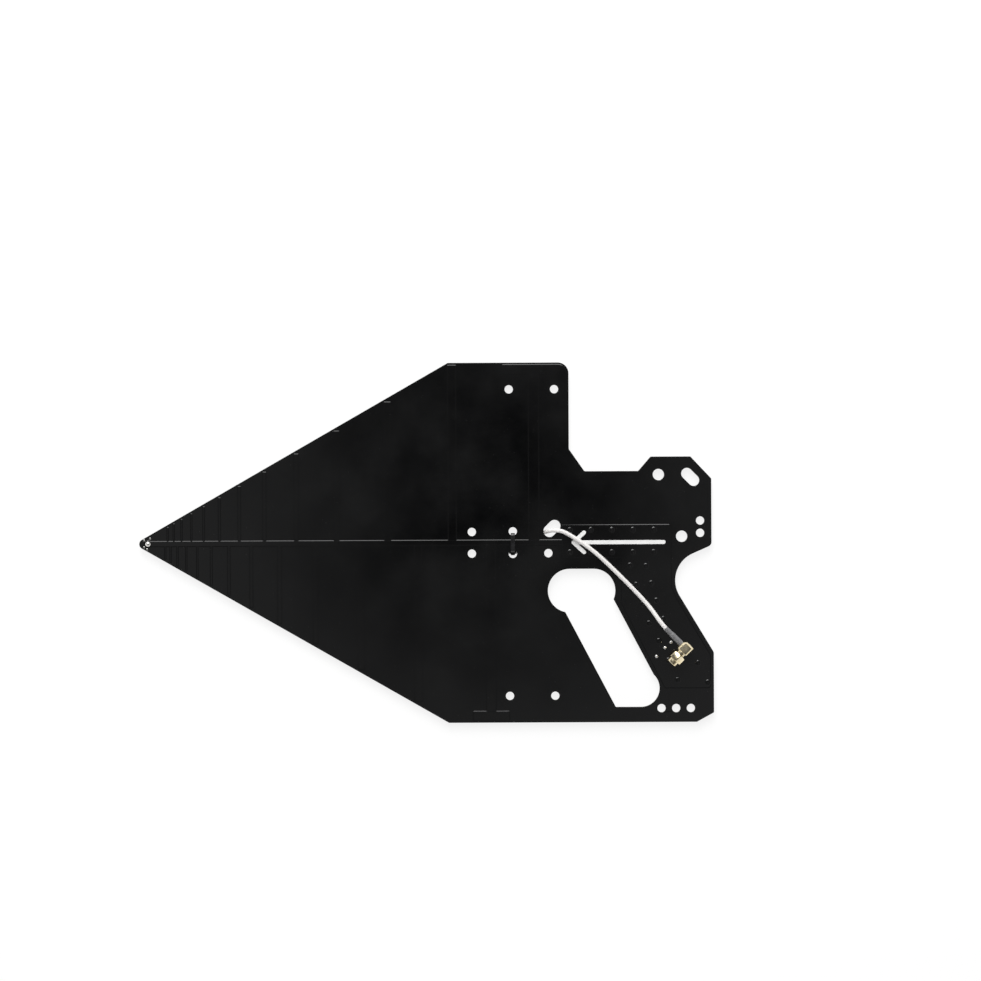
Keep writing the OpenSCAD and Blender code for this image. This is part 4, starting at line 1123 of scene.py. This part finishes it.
class ANTENNA_OT_feed(bpy.types.Operator):
    """Makes the stripped end of the cable at the tip, with its braid, and the two soldered joints"""

    bl_idname = "antenna.feed"
    bl_label = "Feed point"

    def execute(self, context):
        cable, array = context.scene.antenna_cable, context.scene.antenna_array
        under = BACK_Z - COPPER_H - cable.radius
        end = TIP_X + cable.jacket_end
        start = end - cable.braid
        along_x = Matrix.Translation((start, 0, under)) @ Matrix.Rotation(math.pi / 2, 4, "Y")
        wires = node_mesh(braid_tree(), "wires", bpy.data.meshes.new("wires"), {
            "Length": cable.braid, "Radius": cable.braid_radius - 0.00013, "Turns": 0.75, "Carriers": 8,
            "Wire": 0.000055, "Material": finish("tinned_wire")})
        shape = bmesh.new()
        shape.from_mesh(wires)
        bmesh.ops.transform(shape, matrix=along_x, verts=shape.verts)
        core = cable.braid_radius - 0.0002
        turned(shape, ((start, 0), (start, core), (end, core), (end, 0)),
               Matrix.Translation((0, 0, under)), 24)
        mesh = mesh_of(shape, "braid")
        smooth(mesh, 50)
        piece("braid_woven", mesh, [finish("tinned_wire")], "antenna", "tinned_braid", "cable_braid")
        for name, node, material, slot in (
                ("dielectric_bare", "cable_dielectric", "white_insulator", "white_insulator"),
                ("conductor_bare", "centre_conductor", "tinned_wire", "tin")):
            mesh = broken_edges(whole_faces(node), 30 * MICRON, 2)
            smooth(mesh, 30)
            piece(name, mesh, [finish(material)], "antenna", slot, node)
        low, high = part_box("feed_solder")
        radius, height = (high.x - low.x) / 2, high.z - low.z
        middle = Vector((TIP_X + array.feed, 0, low.z))
        upright = Matrix.Translation(middle) @ Matrix.Rotation(-math.pi / 2, 4, "Y")
        mound = ((-20 * MICRON, 0), (-20 * MICRON, radius), (height * 0.12, radius * 0.93), (height * 0.32, radius * 0.78),
                 (height * 0.58, radius * 0.58), (height * 0.8, radius * 0.38), (height * 0.93, radius * 0.22),
                 (height * 0.99, radius * 0.08), (height, 0))
        shape = bmesh.new()
        turned(shape, mound, upright, 40, lumpy(0.05, 3))
        mesh = mesh_of(shape, "solder")
        smooth(mesh, 60)
        piece("solder_front", mesh, [finish("solder")], "antenna", "tin", "feed_solder")
        low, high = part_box("braid_solder")
        radius, height = (high.x - low.x) / 2, high.z - low.z
        down = Matrix.Translation(((low.x + high.x) / 2, 0, high.z)) @ Matrix.Rotation(math.pi / 2, 4, "Y")
        dome = [(-20 * MICRON, 0), (-20 * MICRON, radius)]
        for count in range(1, 12):
            lean = math.pi / 2 * count / 12
            dome.append((height * math.sin(lean) ** 1.15, radius * math.cos(lean) ** 0.8))
        dome.append((height, 0))
        shape = bmesh.new()
        turned(shape, dome, down, 48, lumpy(0.04, 2))
        mesh = mesh_of(shape, "solder")
        smooth(mesh, 60)
        piece("solder_back", mesh, [finish("solder")], "antenna", "tin", "braid_solder")
        return {"FINISHED"}


def tooth_tree():
    """Geometry nodes for the tie's teeth: small wedges in a row"""
    tree, given, result = new_group("GeometryNodeTree", "tie_teeth", {
        "Geometry": "Geometry", "Count": "Int", "Pitch": "Float", "Width": "Float", "Height": "Float",
        "Material": "Material"}, {"Geometry": "Geometry"})
    row = add_node(tree, "GeometryNodeMeshLine", {
        "Count": given["Count"], "Offset": join_xyz(tree, 0.0, given["Pitch"], 0.0)}, mode="OFFSET")
    wedge = add_node(tree, "GeometryNodeMeshCylinder", {
        "Vertices": 3, "Radius": given["Height"], "Depth": given["Width"]}, fill_type="NGON")
    lying = add_node(tree, "GeometryNodeTransform", {
        "Geometry": wedge.outputs["Mesh"], "Rotation": (0, math.pi / 2, 0)})
    teeth = add_node(tree, "GeometryNodeInstanceOnPoints", {
        "Points": row.outputs[0], "Instance": lying.outputs[0]})
    fill_and_end(tree, result, teeth.outputs[0], given["Material"])
    return tree


class ANTENNA_OT_tie(bpy.types.Operator):
    """Makes the cable tie: a strap round the cable and the board between two holes, and its head"""

    bl_idname = "antenna.tie"
    bl_label = "Cable tie"

    def execute(self, context):
        cable = context.scene.antenna_cable
        low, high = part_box("cable_tie")
        x = HEEL_X - cable.tie_hole
        thick, width = cable.strap, cable.strap_width
        half = cable.tie_gap / 2 - math.sqrt(0.00245 ** 2 - (width / 2) ** 2) + thick / 2
        top = high.z - thick / 2
        crown = 0.08
        bottom = thick / 2 * (1 + crown)
        reach = cable.radius + thick / 2
        loop = rounded([(half, top, 0.0011), (-half, top, 0.0011), (-half, BACK_Z - 0.0007, 0.0008),
                        (-reach, bottom, 0.0012), (reach, bottom, 0.0012), (half, BACK_Z - 0.0007, 0.0008)],
                       math.radians(12))
        corner = 0.00022
        section = rounded([(-width / 2, -thick / 2, corner), (width / 2, -thick / 2, corner),
                           (width / 2, thick / 2, corner), (-width / 2, thick / 2, corner)], math.radians(30))
        rings = []
        for place, point in enumerate(loop):
            way = (loop[(place + 1) % len(loop)] - loop[place - 1]).normalized()
            out = Vector((way.y, -way.x))
            rings.append([Vector((x + s.x, *(point + out * (s.y * (1 + crown * (1 - (2 * s.x / width) ** 2))))))
                          for s in section])
        shape = bmesh.new()
        rings_to_shape(shape, rings, closed=True)
        mesh = mesh_of(shape, "strap")
        smooth(mesh, 35)
        piece("tie_strap", mesh, [finish("tie_nylon")], "antenna", "tie_plastic", "cable_tie")

        head_near, head_far = -reach - 0.0001, low.y + 0.0008
        head_half, head_top = 0.0023, 0.0034
        shape = bmesh.new()
        made = bmesh.ops.create_cube(shape, size=1)
        middle = Vector((x, (head_near + head_far) / 2, head_top / 2))
        extent = Vector((2 * head_half, abs(head_far - head_near), head_top))
        bmesh.ops.transform(shape, matrix=Matrix.Translation(middle) @ Matrix.Diagonal((*extent, 1)),
                            verts=made["verts"])
        window = min(shape.faces, key=lambda face: face.calc_center_median().y)
        inner = bmesh.ops.inset_individual(shape, faces=[window], thickness=0.0006)
        del inner
        sunk = bmesh.ops.extrude_discrete_faces(shape, faces=[window])["faces"][0]
        bmesh.ops.translate(shape, vec=(0, 0.0006, 0), verts=sunk.verts)
        holder = mesh_of(shape, "head")
        mesh = broken_edges(holder, 0.00035, 3)
        smooth(mesh, 35)
        piece("tie_head", mesh, [finish("tie_nylon")], "antenna", "tie_plastic")

        tail = [Vector((x + s.x, low.y + 0.0002 * end, thick * 0.85 + s.y)) for end in (0,) for s in section]
        inner_ring = [point + Vector((0, 0.0022, 0)) for point in tail]
        shape = bmesh.new()
        rings_to_shape(shape, [tail, inner_ring])
        teeth = node_mesh(tooth_tree(), "teeth", bpy.data.meshes.new("teeth"), {
            "Count": 7, "Pitch": 0.00055, "Width": width * 0.72, "Height": 0.00022,
            "Material": finish("tie_nylon")})
        rows = bmesh.new()
        rows.from_mesh(teeth)
        spots = (Matrix.Translation((x, low.y + 0.00015, thick * 1.35)),
                 Matrix.Translation((x, -0.0017, COPPER_TOP + 0.00012)) @ Matrix.Rotation(math.pi, 4, "Y"))
        for spot in spots[:1]:
            bmesh.ops.transform(rows, matrix=spot, verts=rows.verts)
        joined = bpy.data.meshes.new("rows")
        rows.to_mesh(joined)
        rows.free()
        shape.from_mesh(joined)
        mesh = mesh_of(shape, "tail")
        smooth(mesh, 30)
        piece("tie_tail", mesh, [finish("tie_nylon")], "antenna", "tie_plastic")
        return {"FINISHED"}


# The plug


def thread_tree():
    """Geometry nodes for the nut's thread: a grid wound into a helix, with a ridge across it that
    runs out at both ends"""
    floats = ("Pitch", "Root", "Crest", "From", "To")
    inputs = {"Geometry": "Geometry", "Steps": "Int", "Material": "Material"}
    inputs.update({name: "Float" for name in floats})
    tree, given, result = new_group("GeometryNodeTree", "nut_thread", inputs, {"Geometry": "Geometry"})
    grid = add_node(tree, "GeometryNodeMeshGrid", {
        "Size X": 1.0, "Size Y": 1.0, "Vertices X": given["Steps"], "Vertices Y": 5})
    x, y, _ = split_xyz(tree, tree.nodes.new("GeometryNodeInputPosition").outputs[0])
    along = calc(tree, "ADD", x, 0.5)
    across = calc(tree, "ROUND", calc(tree, "MULTIPLY", calc(tree, "ADD", y, 0.5), 4.0))
    ease = calc(tree, "MINIMUM", 1.0, calc(tree, "MULTIPLY", 14.0, calc(
        tree, "MINIMUM", along, calc(tree, "SUBTRACT", 1.0, along))))
    wrapped = calc(tree, "MODULO", across, 4.0)
    on_crest = calc(tree, "MULTIPLY", calc(tree, "GREATER_THAN", wrapped, 0.5), calc(tree, "LESS_THAN", wrapped, 2.5))
    behind = 60 * MICRON
    depth = calc(tree, "SUBTRACT", given["Root"], given["Crest"])
    rise = calc(tree, "MULTIPLY", calc(tree, "MULTIPLY", on_crest, ease), calc(tree, "ADD", depth, behind))
    radius = calc(tree, "SUBTRACT", calc(tree, "ADD", given["Root"], behind), rise)
    side = calc(tree, "SUBTRACT", calc(tree, "MULTIPLY", calc(tree, "GREATER_THAN", wrapped, 1.5), 2.0), 1.0)
    foot = calc(tree, "SUBTRACT", 0.47, calc(tree, "MULTIPLY", on_crest, 0.37))
    spread = calc(tree, "MULTIPLY", calc(tree, "MULTIPLY", side, foot), calc(tree, "MULTIPLY", given["Pitch"], ease))
    span = calc(tree, "SUBTRACT", given["To"], given["From"])
    place = calc(tree, "ADD", calc(tree, "ADD", given["From"], calc(tree, "MULTIPLY", span, along)), spread)
    turn = calc(tree, "MULTIPLY", calc(tree, "DIVIDE", calc(tree, "MULTIPLY", span, along), given["Pitch"]), ROUND)
    wound = join_xyz(tree, place, calc(tree, "MULTIPLY", radius, calc(tree, "COSINE", turn)),
                     calc(tree, "MULTIPLY", radius, calc(tree, "SINE", turn)))
    helix = add_node(tree, "GeometryNodeSetPosition", {"Geometry": grid.outputs["Mesh"], "Position": wound})
    closed = add_node(tree, "GeometryNodeMergeByDistance", {"Geometry": helix.outputs[0], "Distance": 2 * MICRON})
    fill_and_end(tree, result, closed.outputs[0], given["Material"])
    return tree


def dressed(name, node, material, body, slot, edge, angle=30, sharp=22):
    """A piece of the plug: its node with broken edges and a machined finish"""
    mesh = broken_edges(whole_faces(node), edge, 2, angle)
    smooth(mesh, sharp)
    return piece(name, mesh, [finish(material)], body, slot, node)


class ANTENNA_OT_plug(bpy.types.Operator):
    """Makes the corner block, its cap, its contact, its insulator and its gasket"""

    bl_idname = "antenna.plug"
    bl_label = "Plug"

    def execute(self, context):
        dressed("plug_block", "plug_body", "plated_block", "antenna", "plated_brass", 0.00009)
        dressed("plug_cap", "plug_rear_cap", "plated_turning", "antenna", "plated_brass", 0.00006)
        dressed("nut_ring", "snap_ring", "plated_turning", "antenna", "plated_brass", 0.00004)
        dressed("plug_core", "plug_insulator", "white_insulator", "antenna", "white_insulator", 0.00005)
        dressed("plug_contact", "plug_pin", "plated_turning", "antenna", "plated_brass", 0.00006, 20)
        dressed("plug_seal", "plug_gasket", "gasket_rubber", "antenna", "gasket_rubber", 0.00012)
        return {"FINISHED"}


class ANTENNA_OT_nut(bpy.types.Operator):
    """Makes the hexagon nut, bored to its thread's root, and the thread inside it"""

    bl_idname = "antenna.nut"
    bl_label = "Coupling nut"

    def execute(self, context):
        plug = context.scene.antenna_plug
        mesh = whole_faces("coupling_nut")
        to_plug = PLUG.inverted()
        for vertex in mesh.vertices:
            at = to_plug @ vertex.co
            radius = math.hypot(at.y, at.z)
            if abs(radius - plug.thread_crest) < 15 * MICRON and at.x > plug.thread_from - 0.0022:
                wider = plug.thread_root / radius
                vertex.co = PLUG @ Vector((at.x, at.y * wider, at.z * wider))
        mesh = broken_edges(mesh, 0.00006, 2, 24)
        smooth(mesh, 22)
        piece("plug_nut", mesh, [finish("plated_turning")], "nut", "plated_brass", "coupling_nut")
        thread = node_mesh(thread_tree(), "thread", bpy.data.meshes.new("thread"), {
            "Pitch": plug.thread_pitch, "Root": plug.thread_root, "Crest": plug.thread_crest,
            "From": plug.thread_from, "To": plug.thread_to, "Steps": 260,
            "Material": finish("plated_turning")})
        shape = bmesh.new()
        shape.from_mesh(thread)
        bmesh.ops.transform(shape, matrix=PLUG, verts=shape.verts)
        mesh = mesh_of(shape, "thread")
        smooth(mesh, 30)
        piece("nut_thread", mesh, [finish("plated_turning")], "nut", "plated_brass")
        return {"FINISHED"}


class ANTENNA_OT_sleeve(bpy.types.Operator):
    """Makes the crimped tube and the shrink sleeve over it, with the six flats of the crimp"""

    bl_idname = "antenna.sleeve"
    bl_label = "Sleeve and ferrule"

    def execute(self, context):
        cable, plug = context.scene.antenna_cable, context.scene.antenna_plug
        dressed("crimp_tube", "crimp_ferrule", "plated_turning", "antenna", "plated_brass", 0.00003)
        start = plug.block_side + 0.00005
        step = plug.block_side + 0.0001 + cable.ferrule + cable.gap
        end = start + cable.sleeve_length
        big, small, wall = cable.sleeve, cable.sleeve_end, 0.0002
        pressed_from, pressed_to = start + 0.0012, step - 0.0008

        def crimp(along, angle):
            """The die's six flats, which fade out at both ends of the ferrule"""
            inside = min(1.0, max(0.0, (along - pressed_from) / 0.0005), max(0.0, (pressed_to - along) / 0.0005))
            if not pressed_from < along < pressed_to:
                inside = 0.0
            wave = 0.5 - 0.5 * math.cos(6 * angle)
            ripple = 0.006 * math.sin(along * 9000 + 2 * angle)
            return 1 - 0.045 * inside * wave + ripple * (1 - inside)

        profile = [(start, small - wall), (start, big)]
        steps = 46
        for count in range(1, steps):
            along = start + (end - start) * count / steps
            share = min(1.0, max(0.0, (along - step) / 0.0012))
            share = share * share * (3 - 2 * share)
            profile.append((along, big + (small - big) * share))
        profile += [(end - 0.00004, small), (end, small - 0.00006), (end, small - wall)]
        place = PLUG @ Matrix.Rotation(-math.pi / 2, 4, "Z")
        shape = bmesh.new()
        turned(shape, profile, place, 48, crimp)
        mesh = mesh_of(shape, "sleeve")
        smooth(mesh, 40)
        piece("sleeve_shrunk", mesh, [finish("shrink_sleeve")], "antenna", "sleeve_plastic", "shrink_sleeve")
        return {"FINISHED"}


class ANTENNA_PT_panel(bpy.types.Panel):
    """The antenna's sizes, colours and steps"""

    bl_idname = "ANTENNA_PT_panel"
    bl_label = "Log periodic antenna"
    bl_space_type = "VIEW_3D"
    bl_region_type = "UI"
    bl_category = "Antenna"

    def draw(self, context):
        for holder in ("antenna_array", "antenna_cable", "antenna_plug", "antenna_finishes"):
            group = getattr(context.scene, holder)
            box = self.layout.box()
            for name in group.bl_rna.properties.keys():
                if name not in ("rna_type", "name"):
                    box.prop(group, name)
        for step in STEPS:
            self.layout.operator(step.bl_idname)


# The steps, in the order in which they run
STEPS = (
    ANTENNA_OT_finishes, ANTENNA_OT_stage, ANTENNA_OT_board, ANTENNA_OT_copper, ANTENNA_OT_vias,
    ANTENNA_OT_print_and_tin, ANTENNA_OT_feed, ANTENNA_OT_tie, ANTENNA_OT_plug, ANTENNA_OT_nut,
    ANTENNA_OT_sleeve, ANTENNA_OT_cable)
GROUPS = {
    "antenna_array": ArraySizes, "antenna_cable": CableSizes, "antenna_plug": PlugSizes,
    "antenna_finishes": Finishes}


def register():
    for group in GROUPS.values():
        bpy.utils.register_class(group)
    for step in (*STEPS, ANTENNA_PT_panel):
        bpy.utils.register_class(step)
    for name, group in GROUPS.items():
        setattr(bpy.types.Scene, name, PointerProperty(type=group))


def unregister():
    for name in GROUPS:
        delattr(bpy.types.Scene, name)
    for step in (ANTENNA_PT_panel, *reversed(STEPS)):
        bpy.utils.unregister_class(step)
    for group in reversed(GROUPS.values()):
        bpy.utils.unregister_class(group)


def main():
    register()
    for step in STEPS:
        space, name = step.bl_idname.split(".")
        getattr(getattr(bpy.ops, space), name)()


if __name__ == "__main__":
    main()
